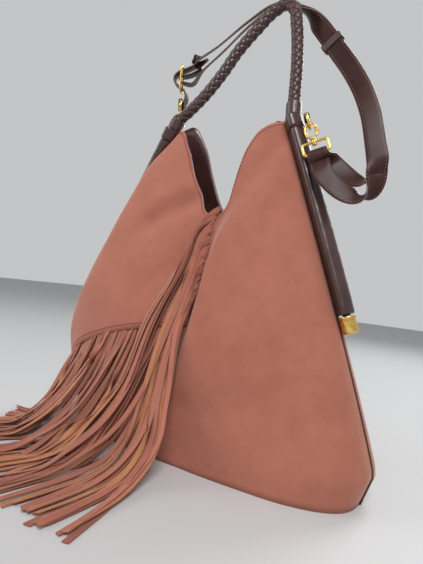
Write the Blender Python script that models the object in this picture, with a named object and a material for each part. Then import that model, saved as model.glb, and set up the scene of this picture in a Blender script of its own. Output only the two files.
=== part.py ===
"""A fringed suede shoulder bag: two pointed wings over a wide base, a plaited handle that runs down
leather sleeves on the side seams into metal end caps, a clip-on shoulder strap and a sewn-in fringe.

Metres, +Z up. The origin is the middle of the base, on the floor. The front faces -Y, +X is to the right.
"""

import math

import bmesh
import bpy
import numpy as np
from mathutils import Matrix

mm = 0.001

# Suede body
BODY_HEIGHT = 391 * mm
BASE_HALF_WIDTH = 192 * mm
FOOT_HALF_WIDTH = 182 * mm
CORNER_RISE = 31 * mm
FRONT_DEPTH = 66 * mm
BACK_DEPTH = 58 * mm
TOP_DEPTH = 10 * mm
RIGHT_PEAK_OUT = 58 * mm
LEFT_PEAK_OUT = 89 * mm
PEAK_FORWARD = 10 * mm
RIGHT_SIDE_SAG = 3 * mm
LEFT_SIDE_SAG = 48 * mm
SUEDE_THICKNESS = 1.8 * mm
FACING_THICKNESS = 0.9 * mm
BASE_THICKNESS = 3 * mm
PIECE_GAP = 0.3 * mm

# Mouth and pleat: where the two front halves meet, and how deep the tuck beside the right half is
NOTCH_HEIGHT = 276 * mm
NOTCH_OUT = -8 * mm
BACK_NOTCH_HEIGHT = 270 * mm
BACK_NOTCH_OUT = -12 * mm
FOOT_NOTCH_OUT = -34 * mm
PLEAT_WIDTH = 14 * mm
PLEAT_SPREAD = 52 * mm
PLEAT_DEPTH = 19 * mm
PLEAT_FADE = 75 * mm
YOKE_LAP = 6 * mm
YOKE_SEAM_HEIGHT = 58 * mm

# Sheets of the body are grids of this many cells
LEFT_COLUMNS = 9
RIGHT_COLUMNS = 11
ROWS = 12
YOKE_ROW = 5
YOKE_SHARE = 0.56
FACING_ROW = 7

# Handle
BRAID_DIAMETER = 14.5 * mm
BRAID_RELIEF = 1.1 * mm
BRAID_PITCH = 10 * mm
BRAID_SIDES = 10
HANDLE_RISE = 146 * mm
HANDLE_TOP_OUT = 38 * mm
SLEEVE_LENGTH = 226 * mm
SLEEVE_WALL = 1.6 * mm
SLEEVE_SEWN_EDGE = 3.6 * mm
COLLAR_LENGTH = 15 * mm
COLLAR_WALL = 1.4 * mm
CAP_LENGTH = 18 * mm
CAP_WALL = 1.0 * mm
CAP_SHOWS = 20 * mm
WRAP_LENGTH = 17 * mm
WRAP_WALL = 1.1 * mm

# Clip-on strap and its metal fittings
STRAP_WIDTH = 21 * mm
STRAP_THICKNESS = 2.2 * mm
LAYER_SPACING = 3 * mm
WIRE = 3.0 * mm
D_RING_WIDTH = 20 * mm
D_RING_DEPTH = 15.7 * mm
HOOK_WIDTH = 14.5 * mm
HOOK_LENGTH = 22 * mm
HOOK_LOOSENESS = 1.0 * mm
STRAP_RING_WIDTH = 30.5 * mm
STRAP_RING_DEPTH = 17 * mm
BARREL_LENGTH = 4.6 * mm
SLIDER_WIDTH = 29 * mm
SLIDER_HEIGHT = 35 * mm
KEEPER_LENGTH = 9 * mm
KEEPER_WALL = 1.5 * mm
TAB_LENGTH = 11 * mm
TAB_WALL = 1.7 * mm

# Fringe
STRIP_WIDTH = 5.4 * mm
STRIP_THICKNESS = 1.3 * mm
STRIP_SHARE = 0.84
LEFT_STRIPS = 25
CENTRE_STRIPS = 9
BAND_WIDTH = 7 * mm

# Colours
SUEDE = (0.45, 0.145, 0.098)
LEATHER = (0.072, 0.030, 0.028)
GOLD = (0.83, 0.56, 0.16)
FACING_BROWN = (0.060, 0.028, 0.026)


def smooth(fraction):
    """Eases a fraction from 0 to 1, flat at both ends."""
    f = np.clip(fraction, 0.0, 1.0)
    return f * f * (3 - 2 * f)


def spline(knots, values):
    """A smooth function through a few values, which may be points."""
    knots = np.asarray(knots, float)
    values = np.asarray(values, float)
    slopes = np.gradient(values, knots, axis=0)

    def at(where):
        where = min(max(where, knots[0]), knots[-1])
        i = min(max(int(np.searchsorted(knots, where)) - 1, 0), len(knots) - 2)
        step = knots[i + 1] - knots[i]
        f = (where - knots[i]) / step
        start = (1 + 2 * f) * (1 - f) ** 2 * values[i] + f * (1 - f) ** 2 * step * slopes[i]
        end = f * f * (3 - 2 * f) * values[i + 1] - f * f * (1 - f) * step * slopes[i + 1]
        return start + end

    return at


def route(points):
    """A smooth path through points, as a function of the length along it, and that length."""
    points = np.asarray(points, float)
    chords = np.linalg.norm(np.diff(points, axis=0), axis=1)
    along = np.concatenate([[0.0], np.cumsum(chords)])
    return spline(along, points), along[-1]


def unit(vector):
    vector = np.asarray(vector, float)
    return vector / np.linalg.norm(vector)


def seam(side, height):
    """Where a side seam lies at a height: side is -1 on the left and 1 on the right."""
    peak = LEFT_PEAK_OUT if side < 0 else RIGHT_PEAK_OUT
    sag = LEFT_SIDE_SAG if side < 0 else RIGHT_SIDE_SAG
    up = np.clip((height - CORNER_RISE) / (BODY_HEIGHT - CORNER_RISE), 0.0, 1.0)
    out = BASE_HALF_WIDTH + (peak - BASE_HALF_WIDTH) * up + sag * math.sin(math.pi * up**0.6)
    if height < CORNER_RISE:
        out = FOOT_HALF_WIDTH + (BASE_HALF_WIDTH - FOOT_HALF_WIDTH) * height / CORNER_RISE
    forward = PEAK_FORWARD * np.clip(height / BODY_HEIGHT, 0.0, 1.0) ** 2
    return np.array([side * out, -forward, height])


def outline(height, face, inset):
    """Half an outline of the body at a height, from the left seam to the right one.

    face is -1 for the front and 1 for the back. Gives x, y and how far along each point lies, -1 to 1.
    """
    up = np.clip(height / BODY_HEIGHT, 0.0, 1.0)
    left = seam(-1, height)
    right = seam(1, height)
    middle = (left[0] + right[0]) / 2
    half_width = (right[0] - left[0]) / 2 - inset
    full = FRONT_DEPTH if face < 0 else BACK_DEPTH
    depth = TOP_DEPTH + (full - TOP_DEPTH) * (1 - up**2.2) - inset
    squareness = 3.5 - 1.4 * up
    turn = np.linspace(-math.pi / 2, math.pi / 2, 121)
    x = middle + half_width * np.sign(np.sin(turn)) * np.abs(np.sin(turn)) ** (2 / squareness)
    y = left[1] + face * depth * np.abs(np.cos(turn)) ** (2 / (squareness * 0.8))
    steps = np.hypot(np.diff(x), np.diff(y))
    along = np.concatenate([[0.0], np.cumsum(steps)])
    return x, y, along / along[-1] * 2 - 1


FRONT_MEETING = spline(
    (0.0, 0.4 * NOTCH_HEIGHT, 0.7 * NOTCH_HEIGHT, NOTCH_HEIGHT),
    (FOOT_NOTCH_OUT, 0.5 * (FOOT_NOTCH_OUT + NOTCH_OUT), NOTCH_OUT - 3 * mm, NOTCH_OUT),
)
PLEAT_FULLNESS = spline(
    (0.0, 0.12, 0.28, 0.5, 0.66, 0.78, 0.9, 1.0),
    (0.0, 0.15, 0.55, 0.95, 1.0, 0.8, 0.3, 0.0),
)


def pleat(x, height):
    """How far the front is tucked in: deep where the halves meet, nothing past the right half's lip."""
    meeting = FRONT_MEETING(height)
    above = np.clip((height - 0.8 * NOTCH_HEIGHT) / (BODY_HEIGHT - 0.8 * NOTCH_HEIGHT), 0.0, 1.0)
    width = PLEAT_WIDTH + PLEAT_SPREAD * above
    depth = PLEAT_DEPTH * PLEAT_FULLNESS(height / BODY_HEIGHT)
    if x > meeting:
        return depth * (1 - smooth((x - meeting) / width))
    return depth * (1 - smooth((meeting - x) / PLEAT_FADE))


def skin(across, height, face, inset):
    """A point of the body's surface: across is -1 at the left seam and 1 at the right one."""
    x, y, along = outline(height, face, inset)
    at_x = float(np.interp(across, along, x))
    at_y = float(np.interp(across, along, y))
    if face < 0:
        at_y += pleat(at_x, height)
    return (at_x, at_y, height)


def across_of(x, height, face):
    xs, _, along = outline(height, face, 0.0)
    return float(np.interp(x, xs, along))


def front_y(x, height):
    xs, ys, _ = outline(height, -1, 0.0)
    return float(np.interp(x, xs, ys)) + pleat(x, height)


# Each wing's edge from the notch to its peak, in shares of the way across and of the way up
FRONT_RIGHT_EDGE = ((0, 0), (0.2, 0.12), (0.3, 0.34), (0.37, 0.54), (0.46, 0.74), (0.64, 0.92), (0.88, 0.99), (1, 1))
FRONT_LEFT_EDGE = ((0, 0), (0.17, 0.3), (0.33, 0.5), (0.5, 0.79), (0.72, 1.03), (1, 1))
BACK_RIGHT_EDGE = ((0, 0), (0.3, 0.26), (0.5, 0.55), (0.7, 0.88), (0.86, 1.02), (1, 1))
BACK_LEFT_EDGE = ((0, 0), (0.36, 0.3), (0.5, 0.55), (0.62, 0.86), (0.78, 1.06), (1, 1))


def eased(count):
    """Shares from 0 to 1, closer together at both ends."""
    return (1 - np.cos(np.linspace(0, math.pi, count + 1))) / 2


def wing_edge(shape, face, side, count):
    """The free edge of a wing as (across, height) pairs, from the notch to the side seam."""
    notch = (NOTCH_OUT, NOTCH_HEIGHT) if face < 0 else (BACK_NOTCH_OUT, BACK_NOTCH_HEIGHT)
    peak = (seam(side, BODY_HEIGHT)[0], BODY_HEIGHT)
    points = [(notch[0] + a * (peak[0] - notch[0]), notch[1] + b * (peak[1] - notch[1])) for a, b in shape]
    path, length = route(points)
    edge = []
    for share in eased(count):
        x, height = path(share * length)
        edge.append((across_of(x, height, face), height))
    edge[-1] = (side, BODY_HEIGHT)
    return np.array(edge)


def arch_route():
    """The arched seam under the left front wing as x and height, from the side seam to the meeting line."""
    right_height = NOTCH_HEIGHT * YOKE_SHARE
    left_x = seam(-1, YOKE_SEAM_HEIGHT)[0]
    right_x = FRONT_MEETING(right_height)
    shape = ((0, 0), (0.09, 0.36), (0.31, 0.62), (0.61, 0.83), (1, 1))
    rise = right_height - YOKE_SEAM_HEIGHT
    return route([(left_x + a * (right_x - left_x), YOKE_SEAM_HEIGHT + b * rise) for a, b in shape])


def yoke_seam(count):
    """Points of the arched seam as (across, height) pairs."""
    path, length = arch_route()
    edge = []
    for share in eased(count):
        x, height = path(share * length)
        edge.append((across_of(x, height, -1), height))
    edge[0] = (-1, YOKE_SEAM_HEIGHT)
    return np.array(edge)


def patch(bottom, top, left, right):
    """A grid of points between four edges that share their corners."""
    u = eased(len(bottom) - 1)[:, None, None]
    v = np.linspace(0, 1, len(left))[None, :, None]
    ruled = (1 - v) * bottom[:, None] + v * top[:, None] + (1 - u) * left[None] + u * right[None]
    corners = (1 - u) * (1 - v) * bottom[0] + u * (1 - v) * bottom[-1]
    corners = corners + (1 - u) * v * top[0] + u * v * top[-1]
    return ruled - corners


def between(start, end, shares):
    start = np.asarray(start, float)
    return start + np.asarray(shares)[:, None] * (np.asarray(end, float) - start)


def row_shares():
    """How far up each row of a panel lies, with the yoke's seam on one of them."""
    low = np.linspace(0, YOKE_SHARE, YOKE_ROW + 1)
    return np.concatenate([low, np.linspace(YOKE_SHARE, 1, ROWS - YOKE_ROW + 1)[1:]])


def front_grid():
    """The front as a grid of (across, height) pairs, columns from the left seam to the right one."""
    rows = row_shares()
    meeting = np.array([(across_of(FRONT_MEETING(h), h, -1), h) for h in rows * NOTCH_HEIGHT])
    left_low = between((-1, 0), (-1, YOKE_SEAM_HEIGHT), np.linspace(0, 1, YOKE_ROW + 1))
    left_high = between((-1, YOKE_SEAM_HEIGHT), (-1, BODY_HEIGHT), np.linspace(0, 1, ROWS - YOKE_ROW + 1))
    arch = yoke_seam(LEFT_COLUMNS)
    foot_left = between((-1, 0), meeting[0], eased(LEFT_COLUMNS))
    foot_right = between(meeting[0], (1, 0), eased(RIGHT_COLUMNS))
    low = patch(foot_left, arch, left_low, meeting[: YOKE_ROW + 1])
    left_edge = wing_edge(FRONT_LEFT_EDGE, -1, -1, LEFT_COLUMNS)[::-1]
    high = patch(arch, left_edge, left_high, meeting[YOKE_ROW:])
    right_edge = wing_edge(FRONT_RIGHT_EDGE, -1, 1, RIGHT_COLUMNS)
    right_seam = between((1, 0), (1, BODY_HEIGHT), rows)
    right = patch(foot_right, right_edge, meeting, right_seam)
    left = np.concatenate([low, high[:, 1:]], axis=1)
    return np.concatenate([left, right[1:]], axis=0)


def back_grid():
    """The back as a grid whose side edges match the front's."""
    rows = row_shares()
    left_low = between((-1, 0), (-1, YOKE_SEAM_HEIGHT), np.linspace(0, 1, YOKE_ROW + 1))
    left_high = between((-1, YOKE_SEAM_HEIGHT), (-1, BODY_HEIGHT), np.linspace(0, 1, ROWS - YOKE_ROW + 1))
    left_seam = np.concatenate([left_low, left_high[1:]])
    right_seam = between((1, 0), (1, BODY_HEIGHT), rows)
    foot = across_of(BACK_NOTCH_OUT, 0, 1)
    notch = across_of(BACK_NOTCH_OUT, BACK_NOTCH_HEIGHT, 1)
    middle = between((foot, 0), (notch, BACK_NOTCH_HEIGHT), rows)
    left_edge = wing_edge(BACK_LEFT_EDGE, 1, -1, LEFT_COLUMNS)[::-1]
    right_edge = wing_edge(BACK_RIGHT_EDGE, 1, 1, RIGHT_COLUMNS)
    left = patch(between((-1, 0), middle[0], eased(LEFT_COLUMNS)), left_edge, left_seam, middle)
    right = patch(between(middle[0], (1, 0), eased(RIGHT_COLUMNS)), right_edge, middle, right_seam)
    return np.concatenate([left, right[1:]], axis=0)


def material(name, colour, roughness, metallic=0.0):
    made = bpy.data.materials.new(name)
    made.use_nodes = True
    shader = made.node_tree.nodes["Principled BSDF"]
    shader.inputs["Base Color"].default_value = (*colour, 1.0)
    shader.inputs["Roughness"].default_value = roughness
    shader.inputs["Metallic"].default_value = metallic
    made.diffuse_color = (*colour, 1.0)
    return made


def finish(name, bm, look, flat=False):
    """Turns a bmesh into a named object with its own material."""
    bmesh.ops.recalc_face_normals(bm, faces=bm.faces)
    mesh = bpy.data.meshes.new(name)
    bm.to_mesh(mesh)
    bm.free()
    if not flat:
        mesh.shade_smooth()
        mesh.set_sharp_from_angle(angle=math.radians(40))
    mesh.materials.append(material(name, *look))
    made = bpy.data.objects.new(name, mesh)
    bpy.context.collection.objects.link(made)
    return made


SUEDE_LOOK = (SUEDE, 0.95)
LEATHER_LOOK = (LEATHER, 0.38)
GOLD_LOOK = (GOLD, 0.22, 1.0)
FACING_LOOK = (FACING_BROWN, 0.45)


def shell(name, cells, outer, inner, look):
    """A sheet of quads, given as cells of corner keys, closed to a wall between two placing functions."""
    bm = bmesh.new()
    number = bm.verts.layers.int.new("number")
    verts = {}
    for cell in cells:
        for key in cell:
            if key not in verts:
                verts[key] = bm.verts.new(outer(key))
                verts[key][number] = len(verts) - 1
    for cell in cells:
        bm.faces.new([verts[key] for key in cell])
    inner_at = [inner(key) for key in verts]
    grown = bmesh.ops.extrude_face_region(bm, geom=bm.faces[:])
    for item in grown["geom"]:
        if isinstance(item, bmesh.types.BMVert):
            item.co = inner_at[item[number]]
    return finish(name, bm, look)


def grid_cells(columns, rows, keep):
    cells = []
    for i in range(columns):
        for j in range(rows):
            if keep(i, j):
                cells += halves(((i, j), (i + 1, j), (i + 1, j + 1), (i, j + 1)))
    return cells


def halves(cell):
    """A four-cornered cell as two triangles, split the same way in every layer."""
    a, b, c, d = cell
    return [(a, b, c), (a, c, d)]


class Sheet:
    """One face of the body as a grid of points, with the direction out of the body at each."""

    def __init__(self, grid, face):
        columns, rows = grid.shape[:2]
        self.face = face
        self.at = np.array([[skin(*grid[i, j], face, 0.0) for j in range(rows)] for i in range(columns)])
        normals = np.zeros_like(self.at)
        evenness = np.zeros((columns, rows))
        touching = np.zeros((columns, rows))
        faces = []
        for i in range(columns - 1):
            for j in range(rows - 1):
                p, q, r, t = self.at[i, j], self.at[i + 1, j], self.at[i + 1, j + 1], self.at[i, j + 1]
                out = unit(np.cross(r - p, t - q)) * -face
                faces.append((i, j, out))
                for a, b in ((i, j), (i + 1, j), (i + 1, j + 1), (i, j + 1)):
                    normals[a, b] += out
        for i in (0, columns - 1):
            normals[i, :, 1] = 0.0
        normals[:, 0, 2] = 0.0
        normals /= np.linalg.norm(normals, axis=2)[:, :, None]
        for i, j, out in faces:
            for a, b in ((i, j), (i + 1, j), (i + 1, j + 1), (i, j + 1)):
                evenness[a, b] += np.dot(normals[a, b], out)
                touching[a, b] += 1
        self.reach = normals / np.clip(evenness / touching, 0.7, 1.0)[:, :, None]

    def out(self, i, j, distance):
        """A grid point moved out of the body by a distance, or into it when negative."""
        return self.at[i, j] + distance * self.reach[i, j]

    def clear_of_seam(self, i, point):
        """Keeps a panel's side edge clear of the other face's."""
        if i in (0, len(self.at) - 1):
            point = point + np.array([0, self.face * PIECE_GAP / 2, 0])
        return point

    def raised(self, i, distance, height):
        """A bottom-row point slid up the wall to a height."""
        low = self.out(i, 0, distance)
        high = self.out(i, 1, distance)
        return low + (high - low) * (height / (high[2] - low[2]))


def body():
    front = Sheet(front_grid(), -1)
    back = Sheet(back_grid(), 1)
    columns = LEFT_COLUMNS + RIGHT_COLUMNS

    def wall(sheet, distance):
        return lambda key: sheet.clear_of_seam(key[0], sheet.out(*key, distance))

    def yoke(distance):
        def place(key):
            i, j = key
            point = front.out(i, j, distance)
            if j == YOKE_ROW:
                lapped = front.out(i, j, distance + STRIP_THICKNESS + 2 * PIECE_GAP + SUEDE_THICKNESS)
                point = lapped - np.array([0, 0, YOKE_LAP])
            if i == LEFT_COLUMNS:
                point = point - np.array([PIECE_GAP, 0, 0])
            return front.clear_of_seam(i, point)

        return place

    below = grid_cells(columns, ROWS, lambda i, j: i >= LEFT_COLUMNS or j < YOKE_ROW)
    above = grid_cells(columns, ROWS, lambda i, j: i < LEFT_COLUMNS and j >= YOKE_ROW)
    whole = grid_cells(columns, ROWS, lambda i, j: True)
    shell("front_panel", below, wall(front, 0.0), wall(front, -SUEDE_THICKNESS), SUEDE_LOOK)
    shell("front_yoke", above, yoke(0.0), yoke(-SUEDE_THICKNESS), SUEDE_LOOK)
    shell("back_panel", whole, wall(back, 0.0), wall(back, -SUEDE_THICKNESS), SUEDE_LOOK)
    facing(front, back, columns)
    base_panel(front, back, columns)
    return front


def facing(front, back, columns):
    """The glossy leather facing inside the mouth, one ring round both halves."""

    def cell_key(face, i, j):
        return ("seam", i, j) if i in (0, columns) else (face, i, j)

    def place(distance):
        return lambda key: (back if key[0] == "back" else front).out(key[1], key[2], distance)

    cells = []
    for i in range(columns):
        for j in range(FACING_ROW, ROWS):
            corners = ((i, j), (i + 1, j), (i + 1, j + 1), (i, j + 1))
            cells += halves([cell_key("front", *corner) for corner in corners])
            cells += [cell[::-1] for cell in halves([cell_key("back", *corner) for corner in corners])]
    inside = SUEDE_THICKNESS + PIECE_GAP
    shell("mouth_facing", cells, place(-inside), place(-inside - FACING_THICKNESS), FACING_LOOK)


def base_panel(front, back, columns):
    """The stiff base, set inside the foot of the panels."""
    inside = -SUEDE_THICKNESS - 2 * PIECE_GAP
    bm = bmesh.new()
    rings = []
    for height in (0.0, BASE_THICKNESS):
        ring = [front.raised(i, inside, height) for i in range(columns + 1)]
        ring += [back.raised(i, inside, height) for i in range(columns - 1, 0, -1)]
        rings.append(ring)
    tube_mesh(bm, rings)
    finish("base_panel", bm, SUEDE_LOOK, flat=True)


class Stations:
    """Places along a path, each with two directions square to it, carried along without twist."""

    def __init__(self, path, stops):
        nudge = 0.5 * mm
        side = np.array([0.0, 1.0, 0.0])
        self.places = []
        for stop in stops:
            tangent = unit(path(stop + nudge) - path(stop - nudge))
            side = unit(side - tangent * np.dot(side, tangent))
            self.places.append((path(stop), side, np.cross(tangent, side)))

    def ring(self, number, offsets):
        point, side, up = self.places[number]
        return [point + a * side + b * up for a, b in offsets]


def tube_mesh(bm, rings, closed=False):
    """Joins rings of points into a skin: capped at both ends, or joined end to end when closed."""
    loops = [[bm.verts.new(point) for point in ring] for ring in rings]
    pairs = list(zip(loops, loops[1:]))
    if closed:
        pairs.append((loops[-1], loops[0]))
    else:
        bm.faces.new(loops[0])
        bm.faces.new(loops[-1])
    count = len(loops[0])
    for near, far in pairs:
        for k in range(count):
            bm.faces.new((near[k], near[(k + 1) % count], far[(k + 1) % count], far[k]))


def round_ring(radius_a, radius_b, sides):
    turns = [2 * math.pi * (k + 0.5) / sides for k in range(sides)]
    return [(radius_a * math.cos(t), radius_b * math.sin(t)) for t in turns]


def sleeve_part(name, stations, bore, wall_a, wall_b, look, sides=10):
    """A hollow sleeve along a path: a round bore in an oval wall."""
    count = len(stations.places)
    outer = [stations.ring(k, round_ring(bore + wall_a, bore + wall_b, sides)) for k in range(count)]
    inner = [stations.ring(k, round_ring(bore, bore, sides)) for k in range(count)]
    bm = bmesh.new()
    tube_mesh(bm, outer + inner[::-1], closed=True)
    return finish(name, bm, look)


BRAID_RADIUS = BRAID_DIAMETER / 2
SLEEVE_BORE = BRAID_RADIUS + PIECE_GAP
SLEEVE_STAND_OFF = SLEEVE_BORE + SLEEVE_WALL + 5 * PIECE_GAP
PRESSED_RADIUS = 0.9 * BRAID_RADIUS


def sleeve_axis(side):
    """The handle's path down a side seam, from its top, as points a little off the body."""
    points = []
    height = BODY_HEIGHT
    run = 0.0
    while run < SLEEVE_LENGTH + CAP_SHOWS + 6 * mm:
        here = seam(side, height)
        below = seam(side, height - 4 * mm)
        down = unit(below - here)
        outward = unit(np.cross((0, 1, 0), down)) * -1
        if outward[0] * side < 0:
            outward = -outward
        points.append((run, here + outward * SLEEVE_STAND_OFF))
        run += np.linalg.norm(below - here)
        height -= 4 * mm
    knots = [run for run, _ in points]
    return spline(knots, [point for _, point in points])


HANDLE_LEFT_SHAPE = ((0.03, 0.06), (0.13, 0.14), (0.28, 0.27), (0.46, 0.48), (0.585, 0.66), (0.75, 0.835), (0.9, 0.966))
HANDLE_RIGHT_SHAPE = ((0.36, 0.94), (0.55, 0.8), (0.8, 0.49), (0.95, 0.1))


def handle_route():
    """The whole plait, cap to cap: up the left sleeve, over the top and down the right sleeve."""
    left_axis = sleeve_axis(-1)
    right_axis = sleeve_axis(1)
    left_top = left_axis(0)
    right_top = right_axis(0)
    top = np.array([HANDLE_TOP_OUT, 0.0, BODY_HEIGHT + HANDLE_RISE])
    reach = SLEEVE_LENGTH + CAP_SHOWS
    points = [left_axis(run) for run in np.linspace(reach, 0, 12)]

    def limb(start, shape):
        made = []
        for a, b in shape:
            x = start[0] + a * (top[0] - start[0]) if start[0] < top[0] else top[0] + a * (start[0] - top[0])
            z = start[2] + b * (top[2] - start[2])
            y = start[1] * (1 - b)
            made.append((x, y, z))
        return made

    points += limb(left_top, HANDLE_LEFT_SHAPE)
    points.append(tuple(top))
    points += limb(right_top, HANDLE_RIGHT_SHAPE)
    points += [right_axis(run) for run in np.linspace(0, reach, 12)]
    return points


def sleeve_stops():
    """How far along the plait its sleeve, collar and stitched wrap each have their rings."""
    sleeve_end = CAP_SHOWS + SLEEVE_LENGTH - COLLAR_LENGTH - PIECE_GAP
    collar_end = CAP_SHOWS + SLEEVE_LENGTH
    sleeve = np.linspace(CAP_SHOWS + PIECE_GAP, sleeve_end, 7)
    collar = np.linspace(sleeve_end + PIECE_GAP, collar_end, 3)
    wrap = np.linspace(collar_end + PIECE_GAP, collar_end + WRAP_LENGTH, 4)
    return sleeve, collar, wrap


def handle():
    path, length = route(handle_route())
    hidden = [CAP_WALL + PIECE_GAP, CAP_LENGTH]
    for stops in sleeve_stops():
        hidden += list(stops)
    start = hidden[-1] + PIECE_GAP
    shows = length - 2 * start
    rings = 2 * int(round(shows / BRAID_PITCH))
    plaited = list(np.linspace(start, length - start, rings + 1))
    stops = hidden + plaited + [length - stop for stop in reversed(hidden)]
    stations = Stations(path, stops)
    bm = bmesh.new()
    sections = []
    for number, stop in enumerate(stops):
        ring = []
        for k in range(BRAID_SIDES):
            turn = 2 * math.pi * k / BRAID_SIDES
            radius = PRESSED_RADIUS
            if start < stop < length - start:
                radius = BRAID_RADIUS - (BRAID_RELIEF if (number + k) % 2 else 0.0)
            ring.append((radius * math.cos(turn), radius * math.sin(turn)))
        sections.append(stations.ring(number, ring))
    tube_mesh(bm, sections)
    finish("braided_handle", bm, LEATHER_LOOK)
    for side, word in ((-1, "left"), (1, "right")):
        handle_end(side, word, path, length)
    return path, length


def handle_end(side, word, path, length):
    """Sleeve, collar, stitched wrap and metal cap on one end of the plait."""

    def stretch(stops):
        return Stations(path, length - stops if side > 0 else stops)

    sleeve, collar, wrap = sleeve_stops()
    sewn_wall = SLEEVE_WALL + SLEEVE_SEWN_EDGE
    collar_walls = (sewn_wall + COLLAR_WALL, SLEEVE_WALL + 2 * PIECE_GAP)
    sleeve_part("side_sleeve_" + word, stretch(sleeve), SLEEVE_BORE, sewn_wall, SLEEVE_WALL, LEATHER_LOOK)
    sleeve_part("sleeve_collar_" + word, stretch(collar), SLEEVE_BORE, *collar_walls, LEATHER_LOOK)
    sleeve_part("handle_wrap_" + word, stretch(wrap), SLEEVE_BORE, WRAP_WALL, WRAP_WALL, LEATHER_LOOK)
    ends = stretch(np.array([0.0, CAP_LENGTH])).places
    end_cap("handle_cap_" + word, ends[0][0], ends[1][0])


def end_cap(name, start, end):
    """A turned cup over the end of the plait, with a rolled rim."""
    bm = bmesh.new()
    bore = SLEEVE_BORE
    outer = bore + CAP_WALL
    rim = outer + 0.6 * mm
    axis = unit(end - start)
    side = unit(np.cross(axis, (0, 1, 0)))
    up = np.cross(axis, side)
    tall = np.linalg.norm(end - start)
    profile = (
        (0.0, outer - 1.2 * mm),
        (1.2 * mm, outer),
        (tall - 3 * mm, outer),
        (tall - 2.4 * mm, rim),
        (tall, rim),
        (tall, bore),
        (CAP_WALL, bore),
    )
    rings = []
    for along, radius in profile:
        rings.append([start + along * axis + a * side + b * up for a, b in round_ring(radius, radius, 12)])
    tube_mesh(bm, rings)
    finish(name, bm, GOLD_LOOK)


class Place:
    """A place with three directions: across, along the ring's bar and down the chain of fittings."""

    def __init__(self, origin, down, across):
        self.origin = np.array(origin)
        self.down = unit(down)
        across = np.asarray(across, float)
        self.across = unit(across - self.down * np.dot(across, self.down))
        self.bar = np.cross(self.down, self.across)

    def at(self, across, bar, down):
        return self.origin + across * self.across + bar * self.bar + down * self.down


def wire_mesh(bm, points, radii, normal, sides=7, closed=False):
    """A round wire bent in one plane; radii gives its radius at each point."""
    points = np.asarray(points, float)
    if closed:
        tangents = np.roll(points, -1, axis=0) - np.roll(points, 1, axis=0)
    else:
        tangents = np.gradient(points, axis=0)
    rings = []
    for point, tangent, radius in zip(points, tangents, radii):
        up = np.cross(unit(tangent), normal)
        rings.append([point + a * normal + b * up for a, b in round_ring(radius, radius, sides)])
    tube_mesh(bm, rings, closed)


def combined(name, base, tool, operation, look):
    """Joins or cuts one mesh with another and keeps the result under a name."""
    first = finish(name, base, look)
    second = finish(name + "_tool", tool, look)
    change = first.modifiers.new("change", "BOOLEAN")
    change.operation = operation
    change.solver = "EXACT"
    change.object = second
    result = bmesh.new()
    bpy.context.view_layer.update()
    result.from_object(first, bpy.context.evaluated_depsgraph_get())
    for old in (first, second):
        bpy.data.objects.remove(old)
    return result


def rounded_loop(half_a, half_b, corner):
    """A rectangle with rounded corners, as (a, b) points going round."""
    points = []
    for sign_a, sign_b, start in ((1, 1, 0), (-1, 1, 90), (-1, -1, 180), (1, -1, 270)):
        for turn in (0, 45, 90):
            angle = math.radians(start + turn)
            a = sign_a * (half_a - corner) + corner * math.cos(angle)
            b = sign_b * (half_b - corner) + corner * math.sin(angle)
            points.append((a, b))
    return points


WIRE_RADIUS = WIRE / 2
BOW_DOWN = D_RING_DEPTH - WIRE
ARCH_DOWN = BOW_DOWN - WIRE - HOOK_LOOSENESS
HOOK_HALF = (HOOK_WIDTH - WIRE) / 2
HOOK_END = ARCH_DOWN + HOOK_LENGTH - WIRE
BARREL_START = HOOK_END + WIRE_RADIUS + PIECE_GAP
BARREL_MIDDLE = BARREL_START + BARREL_LENGTH / 2
STRAP_BAR_DOWN = BARREL_MIDDLE + STRAP_RING_DEPTH - WIRE
GATE_FOOT = (0.62 * HOOK_HALF, HOOK_END - 2.1 * mm)

def beside_peak(side, out, back, up):
    """A place given in millimetres from the top of a side seam."""
    return seam(side, BODY_HEIGHT) + np.array([out, back, up]) * mm


# Where the two chains of fittings start, which way they hang, and how they are turned
RIGHT_FITTINGS = Place(beside_peak(1, 27.5, -3, 0), (0.41, -0.143, -0.90), (0.86, 0.25, 0.40))
LEFT_FITTINGS = Place(beside_peak(-1, -17, 14, 12), (-0.281, 0.4505, 0.848), (0.449, -0.721, 0.532))


def d_ring(name, place):
    half = (D_RING_WIDTH - WIRE) / 2
    points = [place.at(0, share * half, 0) for share in (-0.82, 0.0, 0.82)]
    for turn in (-25, 0, 25, 50, 75, 90, 105, 130, 155, 180, 205):
        angle = math.radians(turn)
        down = 0.4 * BOW_DOWN + 0.6 * BOW_DOWN * math.sin(angle)
        points.append(place.at(0, half * math.cos(angle) * 1.0, down))
    bm = bmesh.new()
    wire_mesh(bm, points, [WIRE_RADIUS] * len(points), place.across, closed=True)
    ring = finish(name, bm, GOLD_LOOK)
    move_origin(ring, place.origin)


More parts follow.
